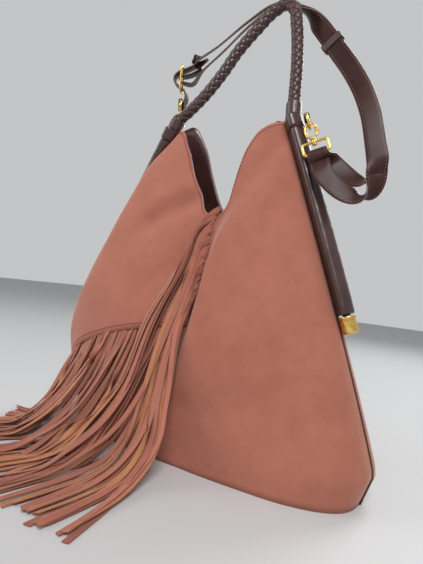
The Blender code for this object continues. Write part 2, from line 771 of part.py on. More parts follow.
def hook(word, place):
    """The snap hook: a bent bar with a turning stem, and its sprung gate."""
    arch = ARCH_DOWN + HOOK_HALF
    nose = arch + 0.8 * mm
    points = [place.at(HOOK_HALF, 0, nose)]
    for turn in (0, 30, 60, 90, 120, 150, 180):
        angle = math.radians(turn)
        points.append(place.at(HOOK_HALF * math.cos(angle), 0, arch - HOOK_HALF * math.sin(angle)))
    for share, down in ((-1, HOOK_END - 7 * mm), (-0.8, HOOK_END - 3.4 * mm), (-0.3, HOOK_END - 1.2 * mm)):
        points.append(place.at(share * HOOK_HALF, 0, down))
    radii = [WIRE_RADIUS] * len(points)
    stem_end = BARREL_START + BARREL_LENGTH + PIECE_GAP
    stem = ((HOOK_END + 0.6 * mm, 1.0), (stem_end - 0.8 * mm, 1.0), (stem_end, 1.0))
    head = ((stem_end + 0.2 * mm, 1.8), (stem_end + 1.6 * mm, 1.5))
    for down, share in stem + head:
        points.append(place.at(0, 0, down))
        radii.append(share * WIRE_RADIUS)
    bm = bmesh.new()
    wire_mesh(bm, points, radii, place.bar)
    frame = finish("hook_frame_" + word, bm, GOLD_LOOK)
    move_origin(frame, place.at(0, 0, BARREL_MIDDLE))
    tip = nose + 2 * PIECE_GAP
    tall = GATE_FOOT[1] - tip
    shape = ((0.0, 1.0, 0.5), (0.05, 1.0, 0.86), (0.12, 1.0, 0.95), (0.3, 1.02, 1.2), (0.55, 1.0, 1.2), (0.75, 0.9, 0.95))
    points = [place.at(out * HOOK_HALF, 0, tip + share * tall) for share, out, _ in shape]
    radii = [size * WIRE_RADIUS for _, _, size in shape]
    points.append(place.at(GATE_FOOT[0], 0, GATE_FOOT[1]))
    radii.append(0.7 * WIRE_RADIUS)
    bm = bmesh.new()
    wire_mesh(bm, points, radii, place.bar)
    gate = finish("hook_gate_" + word, bm, GOLD_LOOK)
    move_origin(gate, place.at(GATE_FOOT[0], 0, GATE_FOOT[1]))


def move_origin(made, point):
    made.data.transform(Matrix.Translation(-np.asarray(point)))
    made.location = point


def strap_ring(name, place):
    """The wire ring the strap is sewn round, with a barrel for the hook's stem."""
    loop = rounded_loop((STRAP_RING_WIDTH - WIRE) / 2, (STRAP_RING_DEPTH - WIRE) / 2, 3 * mm)
    middle = BARREL_MIDDLE + (STRAP_RING_DEPTH - WIRE) / 2
    ring = bmesh.new()
    points = [place.at(a, 0, middle + b) for a, b in loop]
    wire_mesh(ring, points, [WIRE_RADIUS] * len(points), place.bar, closed=True)
    barrel = bmesh.new()
    ends = [place.at(0, 0, BARREL_START), place.at(0, 0, BARREL_START + BARREL_LENGTH)]
    wire_mesh(barrel, ends, [2 * WIRE_RADIUS] * 2, place.bar, sides=12)
    joined = combined(name + "_joined", ring, barrel, "UNION", GOLD_LOOK)
    bore = bmesh.new()
    ends = [place.at(0, 0, BARREL_START - WIRE), place.at(0, 0, BARREL_START + BARREL_LENGTH + WIRE)]
    wire_mesh(bore, ends, [WIRE_RADIUS + PIECE_GAP] * 2, place.bar, sides=12)
    finish(name, combined(name + "_bored", joined, bore, "DIFFERENCE", GOLD_LOOK), GOLD_LOOK)


def ring_tab(name, place, axis_point, radius):
    """A leather loop round the D ring's bar, with a foot that reaches the handle's end."""
    toward = np.asarray(axis_point) - place.origin
    toward = toward - place.bar * np.dot(toward, place.bar)
    foot = np.linalg.norm(toward) - radius - PIECE_GAP
    toward = unit(toward)
    across = np.cross(place.bar, toward)
    bore = WIRE_RADIUS + PIECE_GAP
    outer = bore + TAB_WALL
    loops = {"outer": [], "inner": []}
    for k in range(12):
        angle = math.radians(15 + 30 * k)
        ray = math.cos(angle) * toward + math.sin(angle) * across
        edge = outer * ray
        if k in (0, 11):
            edge = foot * toward + math.copysign(TAB_WALL, math.sin(angle)) * across
        loops["outer"].append(edge)
        loops["inner"].append(bore * ray)
    rings = []
    for key, sign in (("outer", -1), ("outer", 1), ("inner", 1), ("inner", -1)):
        shift = place.origin + sign * TAB_LENGTH / 2 * place.bar
        rings.append([shift + point for point in loops[key]])
    bm = bmesh.new()
    tube_mesh(bm, rings, closed=True)
    finish(name, bm, LEATHER_LOOK)


def fittings(path, length):
    for word, place, radius in (("left", LEFT_FITTINGS, 9.2 * mm), ("right", RIGHT_FITTINGS, 11.0 * mm)):
        stops = np.linspace(0, length, 200)
        near = min((path(stop) for stop in stops), key=lambda p: np.linalg.norm(p - place.origin))
        ring_tab("ring_tab_" + word, place, near, radius)
        d_ring("d_ring_" + word, place)
        hook(word, place)
        strap_ring("strap_ring_" + word, place)


# The slider hangs in the strap's left end: its centre, upward direction and the strap's width direction
SLIDER_PLACE = Place(beside_peak(-1, -27, 25, 85), (0.1, -0.168, 0.96), (0.5, -0.84, -0.2))

# The strap's way in millimetres from the middle of the bag's top, its width direction there, and
# how far apart its layers are, in shares of their spacing. It runs straight where the keeper slides.
KEEPER_WIDTH_WAY = (0.94, -0.14, 0.31)
KEEPER_AT = 8
STRAP_ROUTE = (
    ((-88, 15, 99), (0.40, -0.76, -0.5), 4.3),
    ((-58.5, 16, 118), (0.33, -0.72, -0.59), 3.0),
    ((-19.4, 17, 145.3), (0.2, -0.75, -0.6), 1.6),
    ((9.2, 18, 160), (0.1, -0.78, -0.6), 1.1),
    ((28.5, 19, 162), (0, -0.79, -0.62), 1.0),
    ((49.8, 20, 149), (0.3, -0.72, -0.4), 1.0),
    ((73.9, 18, 123.3), (0.8, -0.4, 0.2), 1.0),
    ((85.3, 15.8, 108.6), KEEPER_WIDTH_WAY, 1.0),
    ((94.1, 14.5, 96.5), KEEPER_WIDTH_WAY, 1.0),
    ((102.9, 13.2, 84.4), KEEPER_WIDTH_WAY, 1.0),
    ((121, 11, 59), (0.96, 0.0, 0.25), 1.0),
    ((138, 6, 30), (0.98, 0.1, 0.15), 1.0),
    ((149, 3, 4), (0.98, 0.2, 0.05), 1.07),
    ((157, 0, -25), (0.96, 0.25, 0.05), 1.13),
    ((164, -3, -55), (0.93, 0.33, 0.1), 1.6),
)


def from_top(x, y, up):
    """A place given in millimetres from the middle of the bag's top."""
    return np.array([x * mm, y * mm, BODY_HEIGHT + up * mm])


def strap_route():
    """The strap as one band: points and width directions from its sewn tab to its sewn left end."""
    slider = SLIDER_PLACE
    across = slider.across
    forward = slider.bar

    def by_slider(out, up):
        return slider.origin + out * mm * forward + up * mm * slider.down

    middle = np.array([from_top(*point) for point, _, _ in STRAP_ROUTE])
    tangents = np.gradient(middle, axis=0)
    inner, outer = [], []
    for point, tangent, (_, width, apart) in zip(middle, tangents, STRAP_ROUTE):
        width = np.asarray(width, float)
        width = unit(width - unit(tangent) * np.dot(width, unit(tangent)))
        inward = np.cross(unit(tangent), width)
        inner.append((point + apart / 2 * LAYER_SPACING * inward, width))
        outer.append((point - apart / 2 * LAYER_SPACING * inward, width))
    route_points = []
    for out, up in ((26, 15), (18, 9.5), (10, 5.6), (4, 3.8), (0, 3.2), (-2.3, 2.3), (-3.2, 0), (-2.3, -2.3)):
        route_points.append((by_slider(out, up), across))
    for out, up in ((0.6, -3.5), (4.5, -5), (12, -5.5)):
        route_points.append((by_slider(out, up), across))
    route_points += inner
    ring = RIGHT_FITTINGS
    turn = WIRE_RADIUS + PIECE_GAP + STRAP_THICKNESS / 2 + 0.25 * mm
    loop_width = (0.62, 0.45, 0.62)
    for point, width in (
        ((162, -2, -76), (0.85, 0.4, 0.3)),
        ((150, -2, -75), loop_width),
        ((132, -3, -61), loop_width),
        ((116, -6, -48), (0.75, 0.38, 0.55)),
    ):
        route_points.append((from_top(*point), np.array(width)))

    def round_bar(place, angles):
        """Once round a ring's bar, with a straight run before and after."""
        start, end = math.radians(angles[0]), math.radians(angles[-1])
        run = 4.5 * mm
        made = [place.at(0, turn * math.cos(start), STRAP_BAR_DOWN + run)]
        for angle in angles:
            a = math.radians(angle)
            made.append(place.at(0, turn * math.cos(a), STRAP_BAR_DOWN - turn * math.sin(a)))
        made.append(place.at(0, turn * math.cos(end), STRAP_BAR_DOWN + run))
        return [(point, place.across) for point in made]

    route_points += round_bar(ring, (0, 45, 90, 135, 180))
    for point, width in (
        ((112, -24, -60), (0.75, 0.38, 0.55)),
        ((128, -22, -79), loop_width),
        ((145, -16, -92), loop_width),
        ((160, -9, -91), (0.85, 0.4, 0.3)),
        ((167, -6, -79), (0.9, 0.36, 0.2)),
    ):
        route_points.append((from_top(*point), np.array(width)))
    route_points += outer[::-1]
    for out, up in ((26, 25), (13, 16.5), (4, 11.8), (-3, 8.6), (-8, 4.2), (-10, -1), (-8, -6.4), (-3, -10)):
        route_points.append((by_slider(out, up), across))
    for out, up in ((2.8, -12.6), (6.6, -17.6)):
        route_points.append((by_slider(out, up), across))
    route_points += round_bar(LEFT_FITTINGS, (0, 45, 90, 135, 180))
    return route_points


def strap():
    stations = strap_route()
    points = np.array([point for point, _ in stations])
    widths = np.array([width for _, width in stations])
    chords = np.linalg.norm(np.diff(points, axis=0), axis=1)
    along = np.concatenate([[0.0], np.cumsum(chords)])
    path = spline(along, points)
    turn = spline(along, widths)
    stops = sorted(set(along) | {(a + b) / 2 for a, b in zip(along, along[1:]) if b - a > 18 * mm})
    centre = np.array([path(stop) for stop in stops])
    tangents = np.gradient(centre, axis=0)
    rings = []
    for stop, point, tangent in zip(stops, centre, tangents):
        tangent = unit(tangent)
        width = turn(stop)
        width = unit(width - tangent * np.dot(width, tangent))
        normal = np.cross(tangent, width)
        half, thick = STRAP_WIDTH / 2 * width, STRAP_THICKNESS / 2 * normal
        rings.append([point + half + thick, point - half + thick, point - half - thick, point + half - thick])
    bm = bmesh.new()
    tube_mesh(bm, rings)
    finish("shoulder_strap", bm, LEATHER_LOOK)
    strap_keeper()
    strap_slider()


def strap_keeper():
    """A leather band round both layers of the strap."""
    before, at, after = (from_top(*STRAP_ROUTE[KEEPER_AT + k][0]) for k in (-1, 0, 1))
    along = unit(after - before)
    width = np.asarray(KEEPER_WIDTH_WAY)
    width = unit(width - along * np.dot(width, along))
    normal = np.cross(along, width)
    inner_a = STRAP_WIDTH / 2 + 2 * PIECE_GAP
    inner_b = (LAYER_SPACING + STRAP_THICKNESS) / 2 + 2 * PIECE_GAP
    rings = []
    for wall, sign in ((KEEPER_WALL, -1), (KEEPER_WALL, 1), (0, 1), (0, -1)):
        corners = rounded_loop(inner_a + wall, inner_b + wall, max(wall, 0.5 * mm))
        shift = sign * KEEPER_LENGTH / 2 * along
        rings.append([shift + a * width + b * normal for a, b in corners])
    bm = bmesh.new()
    tube_mesh(bm, rings, closed=True)
    keeper = finish("strap_keeper", bm, LEATHER_LOOK)
    keeper.location = at


def strap_slider():
    """A metal frame with a bar across its middle for the strap."""
    place = SLIDER_PLACE
    half_a, half_b = (SLIDER_WIDTH - WIRE) / 2, (SLIDER_HEIGHT - WIRE) / 2
    loop = [place.at(a, 0, b) for a, b in rounded_loop(half_a, half_b, 5 * mm)]
    frame = bmesh.new()
    wire_mesh(frame, loop, [WIRE_RADIUS] * len(loop), place.bar, closed=True)
    bar = bmesh.new()
    ends = [place.at(-half_a, 0, 0), place.at(half_a, 0, 0)]
    wire_mesh(bar, ends, [WIRE_RADIUS * 0.98] * 2, place.bar)
    finish("strap_slider", combined("slider_joined", frame, bar, "UNION", GOLD_LOOK), GOLD_LOOK)


def front_point(x, height, lift):
    """A point lifted straight out of the smooth front of the body."""
    step = 1 * mm
    here = np.array([x, front_y(x, height), height])
    beside = np.array([x + step, front_y(x + step, height), height])
    above = np.array([x, front_y(x, height + step), height + step])
    out = unit(np.cross(beside - here, above - here))
    return here + lift * out


FLOOR_LEVEL = STRIP_THICKNESS / 2 + 0.1 * mm


# Where the left strips reach the floor and where they end, in shares of the base's half width
ARCH_ROUTE = arch_route()
LEFT_LANDINGS = spline((0, 0.3, 0.65, 1), ((-1.10, -0.32), (-0.92, -0.51), (-0.585, -0.605), (-0.25, -0.59)))
LEFT_ENDS = spline((0, 0.3, 0.65, 1), ((-1.34, -0.375), (-1.12, -0.79), (-0.76, -1.115), (-0.30, -1.23)))


def left_strip_path(share):
    """A strip hanging from the arched seam: share runs from 0 at the side to 1 at the middle."""
    path, length = ARCH_ROUTE
    x, rise = path((0.07 + 0.82 * share) * length)
    rise -= YOKE_LAP + 2.5 * mm
    lift = PIECE_GAP + STRIP_THICKNESS / 2
    top = front_point(x, rise, lift)
    band = front_point(x, rise - BAND_WIDTH, lift)
    landing = LEFT_LANDINGS(share) * BASE_HALF_WIDTH
    end = LEFT_ENDS(share) * BASE_HALF_WIDTH
    fall = landing - band[:2]
    points = [top, band]
    for out, height in ((0.10, 0.72), (0.34, 0.36), (0.68, 0.1)):
        place = band[:2] + out * fall
        points.append(np.array([*place, FLOOR_LEVEL + height * (band[2] - FLOOR_LEVEL)]))
    points.append(np.array([*landing, FLOOR_LEVEL]))
    for out in (0.5, 1.0):
        points.append(np.array([*(landing + out * (end - landing)), FLOOR_LEVEL]))
    return points


def centre_strip_path(share):
    """A strip hanging from where the halves meet: share is 0 for the top one, which lies leftmost."""
    height = (272 - 106 * share) * mm
    x = FRONT_MEETING(height)
    lift = PIECE_GAP + STRIP_THICKNESS / 2
    over_yoke = 4 * mm * smooth((192 * mm - height) / (26 * mm))
    top = front_point(x - 1.5 * mm, height, lift + over_yoke)
    band = front_point(x - 5 * mm, height - 5 * mm, 2 * lift + over_yoke)
    clear = 6.5 * mm
    middle_x = (-38 + 30 * share) * mm
    middle = front_point(middle_x, 150 * mm, clear)
    low_x = (-40 + 42 * share) * mm
    low = np.array([low_x, min(-82 * mm, front_y(low_x, 80 * mm) - clear), 70 * mm])
    landing = np.array([(-38 + 56 * share) * mm, -114 * mm, FLOOR_LEVEL])
    bend = landing + np.array([0, 14 * mm, 17 * mm])
    end = np.array([(-48 + 84 * share) * mm, (-240 - 4 * share) * mm, FLOOR_LEVEL])
    points = [top, band]
    if height > 190 * mm:
        between_height = (band[2] + middle[2]) / 2
        points.append(front_point((band[0] + middle_x) / 2, between_height, 4.5 * mm))
    else:
        points.append((band + middle) / 2)
    points += [middle, low, bend, landing, (landing + end) / 2, end]
    return points


def comb(name, path_of, count, look):
    """A row of strips cut from one piece: a sewn band, and the strips hanging from it."""

    def edge(share, station):
        return path_of(min(max(share, 0.0), 1.0))[station]

    stations = len(path_of(0.5))
    ahead = 0.2 / count

    def spot(key):
        """The middle of the sheet, its width direction and its outward direction at a key."""
        kind, k, side, station = key
        share = (k + 0.5 + side * STRIP_SHARE / 2) / count
        low, high = max(share - ahead, 0.0), min(share + ahead, 1.0)
        before = edge(share, max(station - 1, 0))
        after = edge(share, min(station + 1, stations - 1))
        tangent = unit(after - before)
        spread = (edge(high, station) - edge(low, station)) / (high - low)
        spread = spread - tangent * np.dot(spread, tangent)
        out = unit(np.cross(tangent, spread))
        if station < 2:
            return edge(share, station), out
        middle = edge((k + 0.5) / count, station)
        half = min(STRIP_WIDTH / 2, STRIP_SHARE / 2 * np.linalg.norm(spread) / count)
        return middle + side * half * unit(spread), out

    cells = []
    for k in range(count):
        for station in range(stations - 1):
            left, right = ("strip", k, -1), ("strip", k, 1)
            cells.append(((*left, station + 1), (*right, station + 1), (*right, station), (*left, station)))
        if k + 1 < count:
            left, right = ("strip", k, 1), ("strip", k + 1, -1)
            cells.append(((*left, 1), (*right, 1), (*right, 0), (*left, 0)))
    placed = {}

    def place(half):
        def at(key):
            if key not in placed:
                placed[key] = spot(key)
            middle, out = placed[key]
            return middle + half * out

        return at

    shell(name, cells, place(STRIP_THICKNESS / 2), place(-STRIP_THICKNESS / 2), look)


def fringe():
    comb("fringe_left", left_strip_path, LEFT_STRIPS, SUEDE_LOOK)
    comb("fringe_centre", centre_strip_path, CENTRE_STRIPS, SUEDE_LOOK)


def clear_scene():
    for old in list(bpy.data.objects):
        bpy.data.objects.remove(old)


def main():
    clear_scene()
    body()
    path, length = handle()
    fittings(path, length)
    strap()
    fringe()


main()
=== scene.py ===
"""The looks of a fringed suede shoulder bag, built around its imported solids."""

import math
import random

import bmesh
import bpy
import numpy as np
from mathutils import Matrix, Vector


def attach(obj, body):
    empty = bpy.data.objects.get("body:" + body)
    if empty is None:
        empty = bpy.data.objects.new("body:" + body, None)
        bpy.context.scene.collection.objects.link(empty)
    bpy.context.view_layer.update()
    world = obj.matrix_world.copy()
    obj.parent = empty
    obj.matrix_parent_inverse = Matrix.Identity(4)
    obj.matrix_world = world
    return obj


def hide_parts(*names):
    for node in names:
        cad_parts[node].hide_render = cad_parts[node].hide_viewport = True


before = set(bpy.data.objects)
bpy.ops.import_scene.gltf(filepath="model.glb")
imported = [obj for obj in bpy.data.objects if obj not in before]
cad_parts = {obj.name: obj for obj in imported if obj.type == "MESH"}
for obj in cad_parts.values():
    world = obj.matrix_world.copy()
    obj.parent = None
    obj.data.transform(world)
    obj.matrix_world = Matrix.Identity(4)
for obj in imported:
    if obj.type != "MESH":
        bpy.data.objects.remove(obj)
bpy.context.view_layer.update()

bl_info = {
    "name": "Fringed suede bag",
    "version": (1, 0, 0),
    "blender": (4, 5, 0),
    "location": "3D View > Sidebar > Bag",
    "description": "Builds the soft body, fringe, plaited handle, strap and fittings of a suede bag",
    "category": "Add Mesh",
}

mm = 0.001

# Sizes of the solids, which the looks follow
BODY_HEIGHT = 391 * mm
BASE_HALF_WIDTH = 192 * mm
FOOT_HALF_WIDTH = 182 * mm
CORNER_RISE = 31 * mm
FRONT_DEPTH = 66 * mm
BACK_DEPTH = 58 * mm
TOP_DEPTH = 10 * mm
RIGHT_PEAK_OUT = 58 * mm
LEFT_PEAK_OUT = 89 * mm
PEAK_FORWARD = 10 * mm
RIGHT_SIDE_SAG = 3 * mm
LEFT_SIDE_SAG = 48 * mm
SUEDE_THICKNESS = 1.8 * mm
FACING_THICKNESS = 0.9 * mm
BASE_THICKNESS = 3 * mm
PIECE_GAP = 0.3 * mm
NOTCH_HEIGHT = 276 * mm
NOTCH_OUT = -8 * mm
BACK_NOTCH_HEIGHT = 270 * mm
BACK_NOTCH_OUT = -12 * mm
FOOT_NOTCH_OUT = -34 * mm
PLEAT_WIDTH = 14 * mm
PLEAT_SPREAD = 52 * mm
PLEAT_DEPTH = 19 * mm
PLEAT_FADE = 75 * mm
YOKE_LAP = 6 * mm
YOKE_SEAM_HEIGHT = 58 * mm
YOKE_SHARE = 0.56

BRAID_DIAMETER = 14.5 * mm
HANDLE_RISE = 146 * mm
HANDLE_TOP_OUT = 38 * mm
SLEEVE_LENGTH = 226 * mm
SLEEVE_WALL = 1.6 * mm
SLEEVE_SEWN_EDGE = 3.6 * mm
COLLAR_LENGTH = 15 * mm
COLLAR_WALL = 1.4 * mm
CAP_LENGTH = 18 * mm
CAP_WALL = 1.0 * mm
CAP_SHOWS = 20 * mm
WRAP_LENGTH = 17 * mm
WRAP_WALL = 1.1 * mm

STRAP_WIDTH = 21 * mm
STRAP_THICKNESS = 2.2 * mm
LAYER_SPACING = 3 * mm
WIRE = 3.0 * mm
D_RING_WIDTH = 20 * mm
D_RING_DEPTH = 15.7 * mm
HOOK_WIDTH = 14.5 * mm
HOOK_LENGTH = 22 * mm
HOOK_LOOSENESS = 1.0 * mm
STRAP_RING_WIDTH = 30.5 * mm
STRAP_RING_DEPTH = 17 * mm
BARREL_LENGTH = 4.6 * mm
SLIDER_WIDTH = 29 * mm
SLIDER_HEIGHT = 35 * mm
KEEPER_LENGTH = 9 * mm
KEEPER_WALL = 1.5 * mm
TAB_LENGTH = 11 * mm
TAB_WALL = 1.7 * mm

MERGE_DISTANCE = 1e-7
MAP_REPEAT = 40 * mm


# Small tools


def smooth(fraction):
    """Eases from 0 to 1 and stays flat past both ends."""
    f = np.clip(fraction, 0.0, 1.0)
    return f * f * (3 - 2 * f)


def spline(knots, values):
    """A smooth function through a few values, which may be points."""
    knots = np.asarray(knots, float)
    values = np.asarray(values, float)
    slopes = np.gradient(values, knots, axis=0)

    def at(where):
        where = min(max(where, knots[0]), knots[-1])
        i = min(max(int(np.searchsorted(knots, where)) - 1, 0), len(knots) - 2)
        step = knots[i + 1] - knots[i]
        f = (where - knots[i]) / step
        start = (1 + 2 * f) * (1 - f) ** 2 * values[i] + f * (1 - f) ** 2 * step * slopes[i]
        end = f * f * (3 - 2 * f) * values[i + 1] - f * f * (1 - f) * step * slopes[i + 1]
        return start + end

    return at


def distances(points):
    """How far along a row of points each one lies."""
    chords = np.linalg.norm(np.diff(points, axis=0), axis=1)
    return np.concatenate([[0.0], np.cumsum(chords)])


def route(points):
    """A smooth path through points, by distance, with its length."""
    points = np.asarray(points, float)
    along = distances(points)
    return spline(along, points), along[-1]


def unit(vector):
    vector = np.asarray(vector, float)
    return vector / np.linalg.norm(vector)


def square_to(vector, axis):
    """The direction of a vector once its part along an axis is taken away."""
    return unit(vector - axis * np.dot(vector, axis))


class Thread:
    """A path cut into even steps, with directions square to it carried along without twist."""

    def __init__(self, path, start, end, steps):
        nudge = 0.4 * mm
        side = np.array([0.0, 1.0, 0.0])
        self.stops = np.linspace(start, end, steps + 1)
        self.points, self.sides, self.ups = [], [], []
        for stop in self.stops:
            tangent = unit(path(stop + nudge) - path(stop - nudge))
            side = square_to(side, tangent)
            self.points.append(path(stop))
            self.sides.append(side)
            self.ups.append(np.cross(tangent, side))

    def at(self, step, a, b):
        return self.points[step] + a * self.sides[step] + b * self.ups[step]

    def round_at(self, step, turn, radius):
        """A point beside the path, at a turn round it."""
        return self.at(step, radius * math.cos(turn), radius * math.sin(turn))


def mapped_grid(bm, columns, rows, place, uv_size=(1.0, 1.0)):
    """A grid of faces laid where place(i, j) says, with a UV map in real sizes."""
    made = bmesh.ops.create_grid(bm, x_segments=columns, y_segments=rows, size=1)["verts"]
    uv = bm.loops.layers.uv.verify()
    where = {}
    for vert in made:
        i = round((vert.co.x + 1) / 2 * columns)
        j = round((vert.co.y + 1) / 2 * rows)
        where[vert] = (i, j)
    for face in {face for vert in made for face in vert.link_faces}:
        for loop in face.loops:
            i, j = where[loop.vert]
            loop[uv].uv = (i / columns * uv_size[0], j / rows * uv_size[1])
    for vert, (i, j) in where.items():
        vert.co = place(i, j)
    return made


def closed_tube(bm, steps, sides, place, capped=True, length=1.0):
    """A tube with side i of ring j at place(i, j): closed round, and at its ends when capped."""
    made = mapped_grid(bm, sides, steps, lambda i, j: place(i % sides, j), (1.0, length))
    bmesh.ops.remove_doubles(bm, verts=made, dist=MERGE_DISTANCE)
    if capped:
        rim = [edge for edge in bm.edges if edge.is_boundary]
        bmesh.ops.holes_fill(bm, edges=rim, sides=0)


def finished(name, bm, materials, body="bag", stands_for=(), flat_below=35, outward=None):
    """Ends a bmesh as a piece that rides on a body and stands for nodes of the solids.

    Edges sharper than flat_below degrees stay sharp, and outward(face) says which way a sheet faces.
    """
    if outward is None:
        bmesh.ops.recalc_face_normals(bm, faces=bm.faces)
    else:
        lean = sum(face.normal.dot(Vector(outward(face))) for face in bm.faces)
        if lean < 0:
            bmesh.ops.reverse_faces(bm, faces=bm.faces)
    mesh = bpy.data.meshes.new(name)
    bm.to_mesh(mesh)
    bm.free()
    mesh.shade_smooth()
    if flat_below:
        mesh.set_sharp_from_angle(angle=math.radians(flat_below))
    for look in materials:
        mesh.materials.append(look)
    piece = bpy.data.objects.new(name, mesh)
    bpy.context.scene.collection.objects.link(piece)
    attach(piece, body)
    if stands_for:
        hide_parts(*stands_for)
    return piece


def walled(piece, thickness, offset=-1.0, inner_look=0, rim_look=0):
    """Gives a sheet its thickness, with its own material inside and on the cut edge."""
    wall = piece.modifiers.new("wall", "SOLIDIFY")
    wall.thickness = thickness
    wall.offset = offset
    wall.use_even_offset = True
    wall.material_offset = inner_look
    wall.material_offset_rim = rim_look


# Materials


class Look:
    """A material being built: short calls that add and join nodes."""

    def __init__(self, name):
        self.material = bpy.data.materials.new(name)
        self.material.use_nodes = True
        self.tree = self.material.node_tree
        self.shader = self.tree.nodes["Principled BSDF"]
        self.where = self.add("ShaderNodeTexCoord").outputs["Object"]

    def add(self, kind, **values):
        node = self.tree.nodes.new(kind)
        for key, value in values.items():
            setattr(node, key, value)
        return node

    def join(self, output, socket):
        self.tree.links.new(output, socket)

    def set(self, **values):
        for key, value in values.items():
            self.shader.inputs[key.replace("_", " ")].default_value = value

    def noise(self, scale, detail=3.0, roughness=0.55):
        node = self.add("ShaderNodeTexNoise")
        node.inputs["Scale"].default_value = scale
        node.inputs["Detail"].default_value = detail
        node.inputs["Roughness"].default_value = roughness
        self.join(self.where, node.inputs["Vector"])
        return node.outputs["Fac"]

    def cells(self, scale):
        node = self.add("ShaderNodeTexVoronoi", feature="F1")
        node.inputs["Scale"].default_value = scale
        self.join(self.where, node.inputs["Vector"])
        return node.outputs["Distance"]

    def ramp(self, value, *stops):
        """A colour for each value, from stops of (position, colour)."""
        node = self.add("ShaderNodeValToRGB")
        while len(node.color_ramp.elements) < len(stops):
            node.color_ramp.elements.new(0.5)
        for element, (position, colour) in zip(node.color_ramp.elements, stops):
            element.position = position
            element.color = (*colour, 1.0)
        self.join(value, node.inputs["Fac"])
        return node.outputs["Color"]

    def span(self, value, low, high):
        """Stretches a noise's usual values to a span from low to high."""
        node = self.add("ShaderNodeMapRange")
        limits = {"From Min": 0.3, "From Max": 0.7, "To Min": low, "To Max": high}
        for key, number in limits.items():
            node.inputs[key].default_value = number
        self.join(value, node.inputs["Value"])
        return node.outputs["Result"]

    def mix(self, factor, first, second, mode="MIX"):
        """Two colours joined by a number or by a socket."""
        node = self.add("ShaderNodeMix", data_type="RGBA", blend_type=mode)
        if isinstance(factor, (int, float)):
            node.inputs["Factor"].default_value = factor
        else:
            self.join(factor, node.inputs["Factor"])
        self.join(first, node.inputs["A"])
        self.join(second, node.inputs["B"])
        return node.outputs["Result"]

    def bump(self, height, strength, distance):
        """Adds a bump on top of any that the shader has."""
        node = self.add("ShaderNodeBump")
        node.inputs["Strength"].default_value = strength
        node.inputs["Distance"].default_value = distance
        previous = self.shader.inputs["Normal"].links
        if previous:
            self.join(previous[0].from_socket, node.inputs["Normal"])
        self.join(height, node.inputs["Height"])
        self.join(node.outputs["Normal"], self.shader.inputs["Normal"])

    def colour(self, output):
        self.join(output, self.shader.inputs["Base Color"])

    def rough(self, output):
        self.join(output, self.shader.inputs["Roughness"])


def tinted(colour, factor):
    """A colour made lighter or darker by a factor."""
    return tuple(min(1.0, max(0.0, channel * factor)) for channel in colour[:3])


def suede_look(name, colour, pile=1.0, with_tone_and_shade=False):
    """Napped suede: soft mottling where the nap lies different ways, over fine fibres."""
    look = Look(name)
    look.set(Roughness=0.92, Specular_IOR_Level=0.18, Sheen_Weight=0.35, Sheen_Roughness=0.45)
    look.set(Sheen_Tint=(1.0, 0.72, 0.62, 1.0))
    broad = look.noise(scale=12, detail=5.0, roughness=0.65)
    patches = look.noise(scale=60, detail=3.0, roughness=0.6)
    fibres = look.noise(scale=1500, detail=2.0, roughness=0.7)
    plain = colour[:3]
    base = look.ramp(broad, (0.34, tinted(colour, 0.84)), (0.52, plain), (0.68, tinted(colour, 1.12)))
    nap = look.ramp(patches, (0.3, tinted(colour, 0.88)), (0.5, plain), (0.72, tinted(colour, 1.1)))
    mixed = look.mix(0.5, base, nap)
    grain = look.ramp(fibres, (0.3, (0.84, 0.84, 0.84)), (0.7, (1.1, 1.08, 1.06)))
    mixed = look.mix(0.7, mixed, grain, "MULTIPLY")
    # Optionally the 'shade' layer multiplies the colour: a random tone per strip, and painted shade on
    # the lower strips.
    if with_tone_and_shade:
        own = look.add("ShaderNodeAttribute", attribute_name="shade").outputs["Color"]
        mixed = look.mix(1.0, mixed, own, "MULTIPLY")
    look.colour(mixed)
    look.bump(fibres, strength=0.35 * pile, distance=0.6 * mm)
    look.bump(patches, strength=0.16, distance=1.2 * mm)
    return look.material


def leather_look(name, colour, roughness=0.36, grain=620, coat=0.25):
    """Smooth dark leather: fine pebbled grain, a soft coat and uneven gloss."""
    look = Look(name)
    look.set(Specular_IOR_Level=0.55, Coat_Weight=coat, Coat_Roughness=0.25)
    pores = look.cells(grain)
    broad = look.noise(scale=35)
    fine = look.noise(scale=grain * 2.2, detail=2.0)
    shades = ((0.3, tinted(colour, 0.72)), (0.6, colour[:3]), (0.8, tinted(colour, 1.5)))
    look.colour(look.ramp(broad, *shades))
    look.rough(look.span(broad, roughness - 0.07, roughness + 0.1))
    look.bump(pores, strength=0.2, distance=0.3 * mm)
    look.bump(fine, strength=0.1, distance=0.2 * mm)
    return look.material


def gold_look(name, colour):
    """Polished plated metal with faint wear in its gloss."""
    look = Look(name)
    look.set(Metallic=1.0, Specular_IOR_Level=0.5)
    haze = look.noise(scale=160)
    scratches = look.noise(scale=900, detail=2.0, roughness=0.8)
    look.colour(look.ramp(haze, (0.35, tinted(colour, 0.88)), (0.65, tinted(colour, 1.06))))
    look.rough(look.span(haze, 0.2, 0.32))
    look.bump(scratches, strength=0.05, distance=0.1 * mm)
    return look.material


def thread_look(name, colour):
    """Twisted sewing thread."""
    look = Look(name)
    look.set(Roughness=0.7, Specular_IOR_Level=0.3)
    twist = look.noise(scale=2600, detail=1.0)
    look.colour(look.ramp(twist, (0.35, tinted(colour, 0.7)), (0.65, tinted(colour, 1.2))))
    look.bump(twist, strength=0.3, distance=0.2 * mm)
    return look.material


